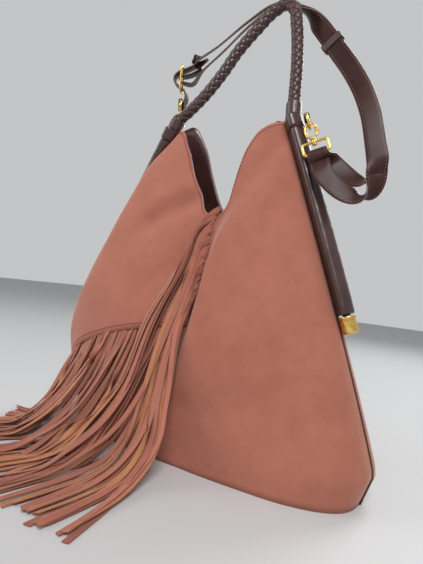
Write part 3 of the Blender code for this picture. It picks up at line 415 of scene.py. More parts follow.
def strap_look(name, colour, edge):
    """The strap's leather by its own map: painted edges, and pressed lines inside them."""
    white, black = (1, 1, 1), (0, 0, 0)
    quarter_turn = 0.25
    look = Look(name)
    look.set(Specular_IOR_Level=0.2, Coat_Weight=0.0)
    uv = look.add("ShaderNodeTexCoord").outputs["UV"]
    split = look.add("ShaderNodeSeparateXYZ")
    look.join(uv, split.inputs["Vector"])
    across = split.outputs["X"]
    fold = look.add("ShaderNodeMath", operation="PINGPONG")
    fold.inputs[1].default_value = quarter_turn
    look.join(across, fold.inputs[0])
    from_edge = fold.outputs[0]
    grain = look.noise(scale=700, detail=2.0)
    broad = look.noise(scale=30)
    leather = look.ramp(broad, (0.3, tinted(colour, 0.75)), (0.65, tinted(colour, 1.25)))
    rim = look.ramp(from_edge, (0.0, white), (0.018, white), (0.028, black))
    painted = look.ramp(grain, (0.3, tinted(edge, 0.85)), (0.7, edge[:3]))
    look.colour(look.mix(rim, leather, painted))
    look.rough(look.span(broad, 0.3, 0.45))
    groove = look.ramp(from_edge, (0.04, white), (0.052, black), (0.066, white))
    look.bump(groove, strength=0.5, distance=0.5 * mm)
    look.bump(grain, strength=0.2, distance=0.3 * mm)
    return look.material


LOOKS = {}


def looks():
    """Every finish, made once from the panel's colours."""
    if LOOKS:
        return LOOKS
    colours = bpy.context.scene.bag_colours
    dark = colours.leather
    LOOKS["suede"] = suede_look("suede", colours.suede)
    LOOKS["suede_edge"] = suede_look("suede_cut_edge", tinted(colours.suede, 0.8), pile=0.6)
    LOOKS["reverse"] = suede_look("suede_reverse", colours.suede_reverse, pile=1.4)
    # The fringe's suede takes each strip's random tone and painted shade on the lower strips from the
    # 'shade' layer.
    LOOKS["fringe"] = suede_look("fringe_suede", colours.suede, pile=1.2, with_tone_and_shade=True)
    LOOKS["leather"] = leather_look("dark_leather", dark)
    LOOKS["plait"] = leather_look("plait_leather", tinted(dark, 0.95), 0.4, grain=500, coat=0.12)
    LOOKS["facing"] = leather_look("facing_leather", tinted(dark, 1.25), 0.4, grain=800, coat=0.6)
    LOOKS["gold"] = gold_look("gold_metal", colours.gold)
    LOOKS["red_thread"] = thread_look("red_thread", colours.seam_thread)
    LOOKS["pale_thread"] = thread_look("pale_thread", colours.strap_thread)
    LOOKS["strap"] = strap_look("strap_leather", tinted(dark, 0.75), colours.edge_paint)
    return LOOKS


# The body's shape

SAG_POWER = 0.6
DEPTH_POWER = 2.2
FOOT_SQUARENESS = 3.5
SQUARENESS_LOST = 1.4
OUTLINE_STOPS = 161


def seam(side, height):
    """Where a side seam lies at a height: side is -1 on the left and 1 on the right."""
    peak = LEFT_PEAK_OUT if side < 0 else RIGHT_PEAK_OUT
    sag = LEFT_SIDE_SAG if side < 0 else RIGHT_SIDE_SAG
    up = np.clip((height - CORNER_RISE) / (BODY_HEIGHT - CORNER_RISE), 0.0, 1.0)
    out = BASE_HALF_WIDTH + (peak - BASE_HALF_WIDTH) * up + sag * math.sin(math.pi * up**SAG_POWER)
    if height < CORNER_RISE:
        out = FOOT_HALF_WIDTH + (BASE_HALF_WIDTH - FOOT_HALF_WIDTH) * height / CORNER_RISE
    forward = PEAK_FORWARD * np.clip(height / BODY_HEIGHT, 0.0, 1.0) ** 2
    return np.array([side * out, -forward, height])


def outline(height, face):
    """Half an outline of the body at a height: x, y and how far along each point lies, -1 to 1."""
    up = np.clip(height / BODY_HEIGHT, 0.0, 1.0)
    left = seam(-1, height)
    right = seam(1, height)
    middle = (left[0] + right[0]) / 2
    half_width = (right[0] - left[0]) / 2
    full = FRONT_DEPTH if face < 0 else BACK_DEPTH
    depth = TOP_DEPTH + (full - TOP_DEPTH) * (1 - up**DEPTH_POWER)
    squareness = FOOT_SQUARENESS - SQUARENESS_LOST * up
    turn = np.linspace(-math.pi / 2, math.pi / 2, OUTLINE_STOPS)
    x = middle + half_width * np.sign(np.sin(turn)) * np.abs(np.sin(turn)) ** (2 / squareness)
    y = left[1] + face * depth * np.abs(np.cos(turn)) ** (2 / (squareness * 0.8))
    steps = np.hypot(np.diff(x), np.diff(y))
    along = np.concatenate([[0.0], np.cumsum(steps)])
    return x, y, along / along[-1] * 2 - 1


FRONT_MEETING = spline(
    (0.0, 0.4 * NOTCH_HEIGHT, 0.7 * NOTCH_HEIGHT, NOTCH_HEIGHT),
    (FOOT_NOTCH_OUT, 0.5 * (FOOT_NOTCH_OUT + NOTCH_OUT), NOTCH_OUT - 3 * mm, NOTCH_OUT),
)
PLEAT_FULLNESS = spline(
    (0.0, 0.12, 0.28, 0.5, 0.66, 0.78, 0.9, 1.0),
    (0.0, 0.15, 0.55, 0.95, 1.0, 0.8, 0.3, 0.0),
)


def pleat(x, height):
    """How far the front is tucked in: deep where the halves meet, nothing past the right half's lip."""
    meeting = FRONT_MEETING(height)
    above = np.clip((height - 0.8 * NOTCH_HEIGHT) / (BODY_HEIGHT - 0.8 * NOTCH_HEIGHT), 0.0, 1.0)
    width = PLEAT_WIDTH + PLEAT_SPREAD * above
    depth = PLEAT_DEPTH * PLEAT_FULLNESS(height / BODY_HEIGHT)
    if x > meeting:
        return depth * (1 - smooth((x - meeting) / width))
    return depth * (1 - smooth((meeting - x) / PLEAT_FADE))


OUTLINES = {}


def outline_at(height, face):
    """An outline, worked out once for each height."""
    key = (round(float(height), 7), face)
    if key not in OUTLINES:
        OUTLINES[key] = outline(height, face)
    return OUTLINES[key]


def skin(across, height, face):
    """A point of the body's surface: across is -1 at the left seam and 1 at the right one."""
    x, y, along = outline_at(height, face)
    at_x = float(np.interp(across, along, x))
    at_y = float(np.interp(across, along, y))
    if face < 0:
        at_y += pleat(at_x, height)
    return np.array([at_x, at_y, height])


def across_of(x, height, face):
    """How far from seam to seam a place x lies."""
    xs, _, along = outline_at(height, face)
    return float(np.interp(x, xs, along))


def front_y(x, height):
    """The y of the front at x, tuck and all."""
    xs, ys, _ = outline_at(height, -1)
    return float(np.interp(x, xs, ys)) + pleat(x, height)


def front_point(x, height, lift):
    """A point lifted straight out of the front of the body."""
    step = 1 * mm
    here = np.array([x, front_y(x, height), height])
    beside = np.array([x + step, front_y(x + step, height), height])
    above = np.array([x, front_y(x, height + step), height + step])
    return here + lift * unit(np.cross(beside - here, above - here))


# The wings' free edges, as shares of the way out and of the way up from the notch to the peak
FRONT_RIGHT_EDGE = (
    (0, 0), (0.2, 0.12), (0.3, 0.34), (0.37, 0.54), (0.46, 0.74), (0.64, 0.92), (0.88, 0.99), (1, 1)
)
FRONT_LEFT_EDGE = ((0, 0), (0.18, 0.08), (0.3, 0.27), (0.47, 0.5), (0.65, 0.77), (0.84, 0.98), (1, 1))
BACK_RIGHT_EDGE = ((0, 0), (0.3, 0.26), (0.5, 0.55), (0.7, 0.88), (0.86, 1.02), (1, 1))
BACK_LEFT_EDGE = ((0, 0), (0.3, 0.3), (0.43, 0.57), (0.56, 0.88), (0.74, 1.05), (1, 1))
ARCH_SHAPE = ((0, 0), (0.09, 0.36), (0.31, 0.62), (0.61, 0.83), (1, 1))


def eased(count):
    """Shares from 0 to 1 that lie closer together at both ends."""
    return (1 - np.cos(np.linspace(0, math.pi, count + 1))) / 2


def edge_points(way, face, count):
    """Points of a route over the body as (across, height) pairs."""
    path, length = way
    edge = []
    for share in eased(count):
        x, height = path(share * length)
        edge.append((across_of(x, height, face), height))
    return np.array(edge)


def wing_edge(shape, face, side, count):
    """The free edge of a wing as (across, height) pairs, from the notch to the side seam."""
    notch_x, notch_z = (NOTCH_OUT, NOTCH_HEIGHT) if face < 0 else (BACK_NOTCH_OUT, BACK_NOTCH_HEIGHT)
    out = seam(side, BODY_HEIGHT)[0] - notch_x
    rise = BODY_HEIGHT - notch_z
    edge = edge_points(route([(notch_x + a * out, notch_z + b * rise) for a, b in shape]), face, count)
    edge[-1] = (side, BODY_HEIGHT)
    return edge


def arch_route():
    """The seam under the left front wing as x and height, from the side seam to the meeting line."""
    right_height = NOTCH_HEIGHT * YOKE_SHARE
    left_x = seam(-1, YOKE_SEAM_HEIGHT)[0]
    right_x = FRONT_MEETING(right_height)
    rise = right_height - YOKE_SEAM_HEIGHT
    return route([(left_x + a * (right_x - left_x), YOKE_SEAM_HEIGHT + b * rise) for a, b in ARCH_SHAPE])


ARCH_PATH, ARCH_LENGTH = arch_route()
ARCH_LINE = np.array([ARCH_PATH(share * ARCH_LENGTH) for share in np.linspace(0, 1, 60)])


def arch_height(x):
    """How high the arched seam runs at x."""
    return float(np.interp(x, ARCH_LINE[:, 0], ARCH_LINE[:, 1]))


def yoke_seam(count):
    """Points of the arched seam as (across, height) pairs."""
    edge = edge_points((ARCH_PATH, ARCH_LENGTH), -1, count)
    edge[0] = (-1, YOKE_SEAM_HEIGHT)
    return edge


def patch(bottom, top, left, right):
    """A grid of points between four edges that share their corners."""
    u = eased(len(bottom) - 1)[:, None, None]
    v = np.linspace(0, 1, len(left))[None, :, None]
    ruled = (1 - v) * bottom[:, None] + v * top[:, None] + (1 - u) * left[None] + u * right[None]
    corners = (1 - u) * (1 - v) * bottom[0] + u * (1 - v) * bottom[-1]
    corners = corners + (1 - u) * v * top[0] + u * v * top[-1]
    return ruled - corners


def between(start, end, shares):
    """Points at some shares of the way from start to end."""
    start = np.asarray(start, float)
    return start + np.asarray(shares)[:, None] * (np.asarray(end, float) - start)


class Fine:
    """Into how many cells the body's sheets are cut: across each half, and under and over the arch."""

    left = 44
    right = 50
    low = 30
    high = 34


def fine_rows():
    """The heights of the cells' rows, as shares of the height of the notch."""
    low = np.linspace(0, YOKE_SHARE, Fine.low + 1)
    return np.concatenate([low, np.linspace(YOKE_SHARE, 1, Fine.high + 1)[1:]])


def side_seams():
    """The left seam under and over the arch, and the right seam, cut into rows."""
    left_low = between((-1, 0), (-1, YOKE_SEAM_HEIGHT), np.linspace(0, 1, Fine.low + 1))
    left_high = between((-1, YOKE_SEAM_HEIGHT), (-1, BODY_HEIGHT), np.linspace(0, 1, Fine.high + 1))
    return left_low, left_high, between((1, 0), (1, BODY_HEIGHT), fine_rows())


def front_patches():
    """The left lower, left upper and right parts of the front, as (across, height) grids."""
    meeting = np.array([(across_of(FRONT_MEETING(h), h, -1), h) for h in fine_rows() * NOTCH_HEIGHT])
    left_low, left_high, right_seam = side_seams()
    arch = yoke_seam(Fine.left)
    low = patch(between((-1, 0), meeting[0], eased(Fine.left)), arch, left_low, meeting[: Fine.low + 1])
    left_edge = wing_edge(FRONT_LEFT_EDGE, -1, -1, Fine.left)[::-1]
    high = patch(arch, left_edge, left_high, meeting[Fine.low :])
    right_edge = wing_edge(FRONT_RIGHT_EDGE, -1, 1, Fine.right)
    right = patch(between(meeting[0], (1, 0), eased(Fine.right)), right_edge, meeting, right_seam)
    return low, high, right


def back_patches():
    """The back as one (across, height) grid, with the same rows as the front."""
    left_low, left_high, right_seam = side_seams()
    left_seam = np.concatenate([left_low, left_high[1:]])
    foot = across_of(BACK_NOTCH_OUT, 0, 1)
    notch = across_of(BACK_NOTCH_OUT, BACK_NOTCH_HEIGHT, 1)
    middle = between((foot, 0), (notch, BACK_NOTCH_HEIGHT), fine_rows())
    left_edge = wing_edge(BACK_LEFT_EDGE, 1, -1, Fine.left)[::-1]
    right_edge = wing_edge(BACK_RIGHT_EDGE, 1, 1, Fine.right)
    left = patch(between((-1, 0), middle[0], eased(Fine.left)), left_edge, left_seam, middle)
    right = patch(between(middle[0], (1, 0), eased(Fine.right)), right_edge, middle, right_seam)
    return np.concatenate([left, right[1:]], axis=0)


def soft_fold(x, height, centre, direction, long, wide, deep):
    """The depth of one soft crease at a point of the front, in the plane of x and height."""
    dx, dz = x - centre[0], height - centre[1]
    along = dx * direction[0] + dz * direction[1]
    beside = -dx * direction[1] + dz * direction[0]
    return deep * math.exp(-((along / long) ** 4)) * math.exp(-((beside / wide) ** 2))


# Creases of the front: centre, direction, half length, half width and depth, in millimetres
FRONT_FOLDS = (
    ((-66, 282), (0.88, 0.47), 42, 12, 6.5),
    ((-74, 300), (0.88, 0.47), 38, 12, -3.0),
    ((-112, 250), (0.9, 0.42), 40, 13, 3.0),
    ((31, 320), (0.45, 0.89), 58, 12, 6.5),
    ((54, 300), (0.45, 0.89), 56, 14, -3.0),
    ((56, 240), (0.2, 0.98), 84, 20, 2.6),
    ((100, 120), (0.35, 0.94), 70, 26, 2.6),
    ((-60, 205), (0.75, 0.66), 44, 15, 2.6),
    ((140, 70), (0.8, 0.6), 46, 15, 2.2),
    ((30, 70), (0.97, 0.25), 60, 18, 2.2),
)


def fold_depth(x, height):
    """How far the creases push the front in at a point."""
    total = 0.0
    for centre, direction, long, wide, deep in FRONT_FOLDS:
        centre = (centre[0] * mm, centre[1] * mm)
        total += soft_fold(x, height, centre, direction, long * mm, wide * mm, deep * mm)
    return total


# The left wing's loose suede: how far it hangs out and which way, and where it starts and fades
SLACK = 17 * mm
SLACK_WAY = (-0.87, -0.5)
SLACK_END = -0.4
SLACK_SIDE, SLACK_SIDE_FADE = -0.975, 0.07
SLACK_MIDDLE, SLACK_MIDDLE_FADE = -0.86, 0.46
SLACK_TOP = 332 * mm
SLACK_FADE = 70 * mm
SLACK_OFF_ARCH = 4 * mm

# Near the side seams the sheets lie plain; elsewhere they ripple a little
PLAIN_MARGIN = 0.12
FRONT_RIPPLE, FRONT_WAVES = 0.5 * mm, (61, 23, 47, 19)
BACK_RIPPLE, BACK_WAVES = 0.8 * mm, (37, 29, 41, 13)
BACK_EASE = 0.6 * mm


def slack(across, height, x):
    """How far the left wing's loose suede hangs out over the sleeve behind it."""
    if across > SLACK_END:
        return 0.0
    beside = smooth((across - SLACK_SIDE) / SLACK_SIDE_FADE)
    beside *= 1 - smooth((across - SLACK_MIDDLE) / SLACK_MIDDLE_FADE)
    below_top = 1 - smooth((height - SLACK_TOP) / SLACK_FADE)
    above_arch = smooth((height - arch_height(x) - SLACK_OFF_ARCH) / SLACK_FADE)
    return SLACK * beside * below_top * above_arch


def ripple(point, size, waves):
    x, height = point[0], point[2]
    return size * math.sin(x * waves[0] + height * waves[1]) * math.sin(height * waves[2] - x * waves[3])


def front_skin(across, height):
    """The front as it is shown: with creases, loose suede and a slight ripple."""
    point = skin(across, height, -1)
    reach = smooth((1 - abs(across)) / PLAIN_MARGIN)
    point[1] += fold_depth(point[0], height) * reach
    loose = slack(across, height, point[0])
    point[0] += SLACK_WAY[0] * loose
    point[1] += SLACK_WAY[1] * loose
    point[1] += ripple(point, FRONT_RIPPLE, FRONT_WAVES) * reach
    return point


def back_skin(across, height):
    """The back as it is shown: eased in a little, with a slight ripple."""
    point = skin(across, height, 1)
    reach = smooth((1 - abs(across)) / PLAIN_MARGIN)
    point[1] -= (BACK_EASE + ripple(point, BACK_RIPPLE, BACK_WAVES)) * reach
    return point


class Surface:
    """One face of the body as a fine grid of points, with the direction out of the body at each."""

    def __init__(self, grid, place, face):
        columns, rows = grid.shape[:2]
        self.at = np.array([[place(*grid[i, j]) for j in range(rows)] for i in range(columns)])
        normal = np.cross(np.gradient(self.at, axis=0), np.gradient(self.at, axis=1)) * -face
        self.normal = normal / np.linalg.norm(normal, axis=2)[:, :, None]
        self.columns = columns - 1
        self.rows = rows - 1

    def out(self, i, j, distance):
        """A grid point moved out of the body."""
        return self.at[i, j] + distance * self.normal[i, j]

    def inset_from_top(self, i, distance):
        """A point at a distance below the free edge, and its outward direction."""
        gone = 0.0
        for j in range(self.rows, 0, -1):
            step = np.linalg.norm(self.at[i, j - 1] - self.at[i, j])
            if gone + step >= distance:
                share = (distance - gone) / step
                return self.at[i, j] + share * (self.at[i, j - 1] - self.at[i, j]), self.normal[i, j - 1]
            gone += step
        return self.at[i, 0], self.normal[i, 0]


SURFACES = {}


def surfaces():
    """The front and the back, worked out once."""
    if not SURFACES:
        low, high, right = front_patches()
        left = np.concatenate([low, high[:, 1:]], axis=1)
        SURFACES["front"] = Surface(np.concatenate([left, right[1:]], axis=0), front_skin, -1)
        SURFACES["back"] = Surface(back_patches(), back_skin, 1)
    return SURFACES["front"], SURFACES["back"]


def sheet_part(bm, surface, columns, rows, place=None):
    """Adds the cells between two columns and two rows of a surface."""
    (i0, i1), (j0, j1) = columns, rows
    where = place or (lambda i, j: surface.at[i, j])
    mapped_grid(bm, i1 - i0, j1 - j0, lambda i, j: where(i0 + i, j0 + j), (0.4, 0.4))


# The yoke's lower edge: how many rows lap down, how many ease back to the front, and the room below it
LAP_ROWS = 3
EASE_ROWS = 13
FRINGE_ROOM = 1.3 * mm + 2 * PIECE_GAP + SUEDE_THICKNESS


def yoke_place(front):
    """The yoke's points: its lower edge is lifted over the fringe's band and laps down past it."""

    def at(i, j):
        up = j - Fine.low
        rise = 1 - smooth((up - 1) / EASE_ROWS)
        point = front.out(i, j, FRINGE_ROOM * rise)
        if up < LAP_ROWS:
            point = point - np.array([0, 0, YOKE_LAP * (1 - up / LAP_ROWS)])
        return point

    return at


def suede_sheet(name, bm, node, out, edged=True):
    """A finished sheet of the body; a mouth's edge is bound with the facing's leather."""
    materials = [looks()["suede"], looks()["facing"]] if edged else [looks()["suede"]]
    sheet = finished(name, bm, materials, stands_for=[node], outward=lambda face: out)
    walled(sheet, SUEDE_THICKNESS, rim_look=1 if edged else 0)


def build_panels():
    """The front with its left half under the arch and its right half, the yoke and the back."""
    front, back = surfaces()
    bm = bmesh.new()
    sheet_part(bm, front, (0, Fine.left), (0, Fine.low))
    sheet_part(bm, front, (Fine.left, front.columns), (0, front.rows))
    bmesh.ops.remove_doubles(bm, verts=bm.verts, dist=10 * MERGE_DISTANCE)
    suede_sheet("front_suede", bm, "front_panel", (0, -1, 0), edged=False)
    bm = bmesh.new()
    sheet_part(bm, front, (0, Fine.left), (Fine.low, front.rows), yoke_place(front))
    suede_sheet("yoke_suede", bm, "front_yoke", (0, -1, 0))
    bm = bmesh.new()
    sheet_part(bm, back, (0, back.columns), (0, back.rows))
    suede_sheet("back_suede", bm, "back_panel", (0, 1, 0))


# Where the facing starts, as a share of the notch's height, and the base's rounded edge and stand
FACING_START = 0.6857
BASE_BEVEL = 0.5 * mm
BASE_STAND = 0.06 * mm


def build_lining():
    """The leather facing round the inside of the mouth, and the base inside the foot."""
    front, back = surfaces()
    inside = SUEDE_THICKNESS + PIECE_GAP
    start = int(np.searchsorted(fine_rows(), FACING_START))
    bm = bmesh.new()
    for surface in (front, back):
        columns, rows = (0, surface.columns), (start, surface.rows)
        sheet_part(bm, surface, columns, rows, lambda i, j, face=surface: face.out(i, j, -inside))
    name, leather = "mouth_facing_leather", [looks()["facing"]]
    facing = finished(name, bm, leather, stands_for=["mouth_facing"])
    walled(facing, FACING_THICKNESS, offset=0.0)
    ring = [front.out(i, 0, -inside) for i in range(front.columns + 1)]
    ring += [back.out(i, 0, -inside) for i in range(back.columns - 1, 0, -1)]
    levels = ((BASE_STAND, BASE_BEVEL), (BASE_BEVEL, 0.0))
    levels += ((BASE_THICKNESS - BASE_BEVEL, 0.0), (BASE_THICKNESS, BASE_BEVEL))
    centre = np.mean(ring, axis=0)

    def place(i, j):
        height, shrink = levels[j]
        point = ring[i] + unit(centre - ring[i]) * (shrink + PIECE_GAP)
        return (point[0], point[1], height)

    bm = bmesh.new()
    closed_tube(bm, len(levels) - 1, len(ring), place)
    finished("base_suede", bm, [looks()["suede"]], stands_for=["base_panel"])


# Fringe

STRIP_THICKNESS = 1.1 * mm
STRIP_COLUMNS, STRIP_ROWS = 4, 44
STRIP_LOWEST = 0.65 * mm
BAND_WIDTH = 7 * mm
ROOT_LIFT = PIECE_GAP + STRIP_THICKNESS / 2
FLOOR_LEVEL = STRIP_THICKNESS / 2 + 0.1 * mm
STACKING = 0.7

# Where the strips under the arched seam touch the floor and where they end, in half widths of the base
LEFT_SHARES = (0, 0.3, 0.65, 1)
LEFT_LANDINGS = spline(LEFT_SHARES, ((-1.10, -0.32), (-0.92, -0.51), (-0.585, -0.605), (-0.25, -0.59)))
LEFT_ENDS = spline(LEFT_SHARES, ((-1.34, -0.375), (-1.12, -0.79), (-0.76, -1.115), (-0.30, -1.23)))

# How these strips fall, as shares of the way out and of the height left, and how they settle on the floor
LEFT_FALL = ((0.11, 0.73), (0.3, 0.46), (0.54, 0.24), (0.8, 0.1))
LEFT_SETTLING = ((0.0, 3.5 * mm), (0.5, 0.4 * mm), (1.0, 0.0))

# The middle bunch's way down: half way, just above the floor, and where its strips start to hang straight
MIDDLE_HEIGHT = 150 * mm
LOW_HEIGHT = 70 * mm
STRAIGHT_BELOW = 190 * mm
OVER_YOKE = 4 * mm
OVER_YOKE_BELOW = 192 * mm
OVER_YOKE_FADE = 26 * mm
CLEAR_OF_FRONT = 6.5 * mm

# The strips of this bunch that turn over near their root, and drift as the ones on top do
TURNED_ON_TOP = (4, 17)


def left_strip_path(share, raised, reach, near):
    """A strip under the arched seam: share is 0 at the side and 1 at the middle.

    Raised is its height above its neighbours, reach how far it runs out on the floor, and near how much
    later than them it lands.
    """
    x, rise = ARCH_PATH((0.04 + 0.9 * share) * ARCH_LENGTH)
    floor = FLOOR_LEVEL + STACKING * raised
    top = front_point(x, rise, ROOT_LIFT)
    band = front_point(x, rise - BAND_WIDTH, ROOT_LIFT + 0.3 * raised)
    landing = LEFT_LANDINGS(share) * BASE_HALF_WIDTH
    end = landing + reach * (LEFT_ENDS(share) * BASE_HALF_WIDTH - landing)
    landing = landing + near * (end - landing)
    fall = landing - band[:2]
    forward = unit([*fall, 0.0])
    points = [top, band]
    for out, height in LEFT_FALL:
        place = band[:2] + out * fall
        points.append(np.array([*place, floor + height * (band[2] - floor)]) + raised * forward)
    for out, above in LEFT_SETTLING:
        points.append(np.array([*(landing + out * (end - landing)), floor + above]))
    return points


def centre_strip_path(share, raised, reach, near):
    """A strip hanging from where the halves meet: shares under 0 fan out over the yoke."""
    height = (275 - 80 * max(share, 0.0) + 13 * max(-share - 0.35, 0.0) / 0.55) * mm
    x = FRONT_MEETING(min(height, NOTCH_HEIGHT)) + 0.6 * max(height - NOTCH_HEIGHT, 0.0)
    spare = max(-share, 0.0)
    over_yoke = OVER_YOKE * smooth((OVER_YOKE_BELOW - height) / OVER_YOKE_FADE)
    floor = FLOOR_LEVEL + STACKING * raised
    top = front_point(x - 1.5 * mm, height, ROOT_LIFT + over_yoke)
    lift = 2 * ROOT_LIFT + over_yoke + 0.5 * raised
    band = front_point(x - (5 + 5 * spare) * mm, height - 5 * mm, lift)
    clear = CLEAR_OF_FRONT + raised
    middle_x = (-38 + 30 * share) * mm
    middle = front_point(middle_x, MIDDLE_HEIGHT, clear)
    low_x = (-40 + 42 * share) * mm
    low = np.array([low_x, min(-82 * mm, front_y(low_x, 80 * mm) - clear) - raised, LOW_HEIGHT])
    landing = np.array([(-38 + 56 * share) * mm, (-123 - 30 * near) * mm - raised, floor])
    end = np.array([(-48 + 84 * share) * mm, (-240 - 4 * share + 14 * spare) * mm, floor])
    end = landing + reach * (end - landing)
    bend = landing + np.array([0, 0.52 * (low[1] - landing[1]), 32 * mm])
    landing[2] += 10 * mm
    settling = [0.72 * landing + 0.28 * end, 0.4 * landing + 0.6 * end]
    settling[0][2] = floor + 2.5 * mm
    settling[1][2] = floor + 0.2 * mm
    points = [top, band]
    if height > STRAIGHT_BELOW:
        between_height = (band[2] + middle[2]) / 2
        points.append(front_point((band[0] + middle_x) / 2, between_height, 4.5 * mm + raised))
    else:
        points.append((band + middle) / 2)
    points += [middle, low, bend, landing, *settling, end]
    return points


def strip_tone_and_shade(value, raised):
    """How light a strip is: its own random tone, with painted shade that makes the strips underneath
    darker.
    """
    return 0.74 + 0.2 * value + 0.05 * raised / mm


def strip(bm, shade, path_of, share, layout, width, turns, value, fall):
    """One flat strip: its root stays put, its end drifts over its neighbours, and it may turn over."""
    drift, stand_off, wander = fall
    start = np.array(path_of(share, *layout))
    end = np.array(path_of(share + drift, *layout))
    later = np.linspace(0, 1, len(start))[:, None] ** 1.5
    way = start * (1 - later) + end * later
    way[:, 1] -= np.sin(np.linspace(0, math.pi, len(way))) ** 1.5 * stand_off
    centre, length = route(way)
    root = unit(np.subtract(path_of(share + 0.02, *layout)[0], path_of(share - 0.02, *layout)[0]))
    ahead = way[-1] - way[1]
    side = unit(np.cross((0, 0, 1), (ahead[0], ahead[1], 0)))
    shares = np.linspace(0, 1, STRIP_ROWS + 1)
    sway = [wander * smooth((s - 0.08) / 0.4) * math.sin(5.5 * s + value * 20) for s in shares]
    middles = np.array([centre(s * length) for s in shares]) + np.outer(sway, side)
    tangents = np.gradient(middles, axis=0)
    turn_at, turn_over, lean = turns
    rings = []
    for s, here, tangent in zip(shares, middles, tangents):
        tangent = unit(tangent)
        settled = smooth(s / 0.3)
        spread = square_to(root * (1 - settled) + side * settled, tangent)
        out = np.cross(tangent, spread)
        turn = lean * math.sin(7 * s + value * 9) + turn_over * smooth((s - turn_at) / 0.22)
        here = here + abs(math.sin(turn)) * 0.45 * width * out
        across = math.cos(turn) * spread + math.sin(turn) * out
        rings.append((here, across, np.cross(tangent, across)))

    def place(i, j):
        here, across, normal = rings[j]
        a = 2 * i / STRIP_COLUMNS - 1
        half = width / 2 * (1 + 0.05 * math.sin(11 * j / STRIP_ROWS + value * 30))
        point = here + a * half * across - (1 - a * a) * 0.35 * mm * normal
        if j == STRIP_ROWS:
            slant = (value - 0.5) * 3 * mm * a
            point = point + slant * unit(here - rings[j - 1][0])
        point[2] = max(point[2], STRIP_LOWEST)
        return point

    # Each strip gets its random tone, and painted shade that darkens the strips in the lower layers.
    for vert in mapped_grid(bm, STRIP_COLUMNS, STRIP_ROWS, place, (width, length)):
        vert[shade] = strip_tone_and_shade(value, layout[0])


def build_fringe():
    """Two bunches of separate strips, in layers, some turned to show their paler reverse."""
    settings = bpy.context.scene.bag_fringe
    chance = random.Random(settings.seed)
    groups = (
        ("left_fringe", left_strip_path, settings.left_strips, 0.0, "fringe_left"),
        ("centre_fringe", centre_strip_path, settings.centre_strips, -0.9, "fringe_centre"),
    )
    for name, path_of, count, low, node in groups:
        bm = bmesh.new()
        # A brightness per vertex: each strip's random tone, and painted shade on the strips lying
        # underneath.
        shade = bm.verts.layers.float.new("shade")
        for k in range(count):
            share = (k + 0.5 + chance.uniform(-0.3, 0.3)) / count
            share = low + (1.0 - low) * (share + 0.012 * math.sin(40 * share))
            raised = (0.0, 3.4, 1.6)[k % 3] * mm + chance.uniform(0, 0.6) * mm
            layout = (raised, chance.uniform(0.86, 1.03), chance.uniform(0.0, 0.6))
            width = settings.strip_width * chance.uniform(0.9, 1.08)
            over = math.pi if chance.random() < settings.turned_share else 0.0
            turn_at = chance.uniform(0.06, 0.5)
            if node == "fringe_centre" and k in TURNED_ON_TOP:
                over, turn_at, raised = math.pi, 0.05, 4 * mm
            turns = (turn_at, over * chance.choice((-1, 1)), chance.uniform(0.05, 0.42))
            spare = 1 - 0.7 * share if node == "fringe_left" else 0.6
            drift = chance.uniform(-0.2, 0.02) if raised > 3 * mm else chance.uniform(-0.06, 0.12)
            stand_off = chance.choice((0.0, 3.0, 6.0, 9.0)) * spare * mm
            fall = (drift, stand_off, chance.uniform(1.0, 6.0) * mm)
            strip(bm, shade, path_of, share, layout, width, turns, chance.random(), fall)
        sides = [looks()["fringe"], looks()["reverse"], looks()["suede_edge"]]
        outward = lambda face: -face.normal
        bunch = finished(name, bm, sides, stands_for=[node], flat_below=0, outward=outward)
        walled(bunch, STRIP_THICKNESS, offset=0.0, inner_look=1, rim_look=2)


# Handle

BRAID_RADIUS = BRAID_DIAMETER / 2
SLEEVE_BORE = BRAID_RADIUS + PIECE_GAP
SLEEVE_STAND_OFF = SLEEVE_BORE + SLEEVE_WALL + 5 * PIECE_GAP
SEAM_STEP = 4 * mm


def sleeve_axis(side):
    """The handle's path down a side seam, from its top, a little off the body."""
    points = []
    height = BODY_HEIGHT
    run = 0.0
    while run < SLEEVE_LENGTH + CAP_SHOWS + 6 * mm:
        here = seam(side, height)
        below = seam(side, height - SEAM_STEP)
        down = unit(below - here)
        outward = unit(np.cross((0, 1, 0), down)) * -1
        if outward[0] * side < 0:
            outward = -outward
        points.append((run, here + outward * SLEEVE_STAND_OFF))
        run += np.linalg.norm(below - here)
        height -= SEAM_STEP
    return spline([run for run, _ in points], [point for _, point in points])


# The handle's two limbs, as shares of the way in and of the way up to its top
HANDLE_LEFT_SHAPE = (
    (0.03, 0.06), (0.13, 0.14), (0.28, 0.27), (0.46, 0.48), (0.585, 0.66), (0.75, 0.835), (0.9, 0.966)
)
HANDLE_RIGHT_SHAPE = ((0.36, 0.94), (0.55, 0.8), (0.8, 0.49), (0.95, 0.1))


def handle_route():
    """The whole plait, cap to cap: up the left sleeve, over the top and down the right sleeve."""
    left_axis = sleeve_axis(-1)
    right_axis = sleeve_axis(1)
    top = np.array([HANDLE_TOP_OUT, 0.0, BODY_HEIGHT + HANDLE_RISE])
    reach = SLEEVE_LENGTH + CAP_SHOWS
    points = [left_axis(run) for run in np.linspace(reach, 0, 12)]

    def limb(start, shape):
        left, right = min(start[0], top[0]), max(start[0], top[0])
        rise = top[2] - start[2]
        return [(left + a * (right - left), start[1] * (1 - b), start[2] + b * rise) for a, b in shape]

    points += limb(left_axis(0), HANDLE_LEFT_SHAPE)
    points.append(tuple(top))
    points += limb(right_axis(0), HANDLE_RIGHT_SHAPE)
    points += [right_axis(run) for run in np.linspace(0, reach, 12)]
    return points


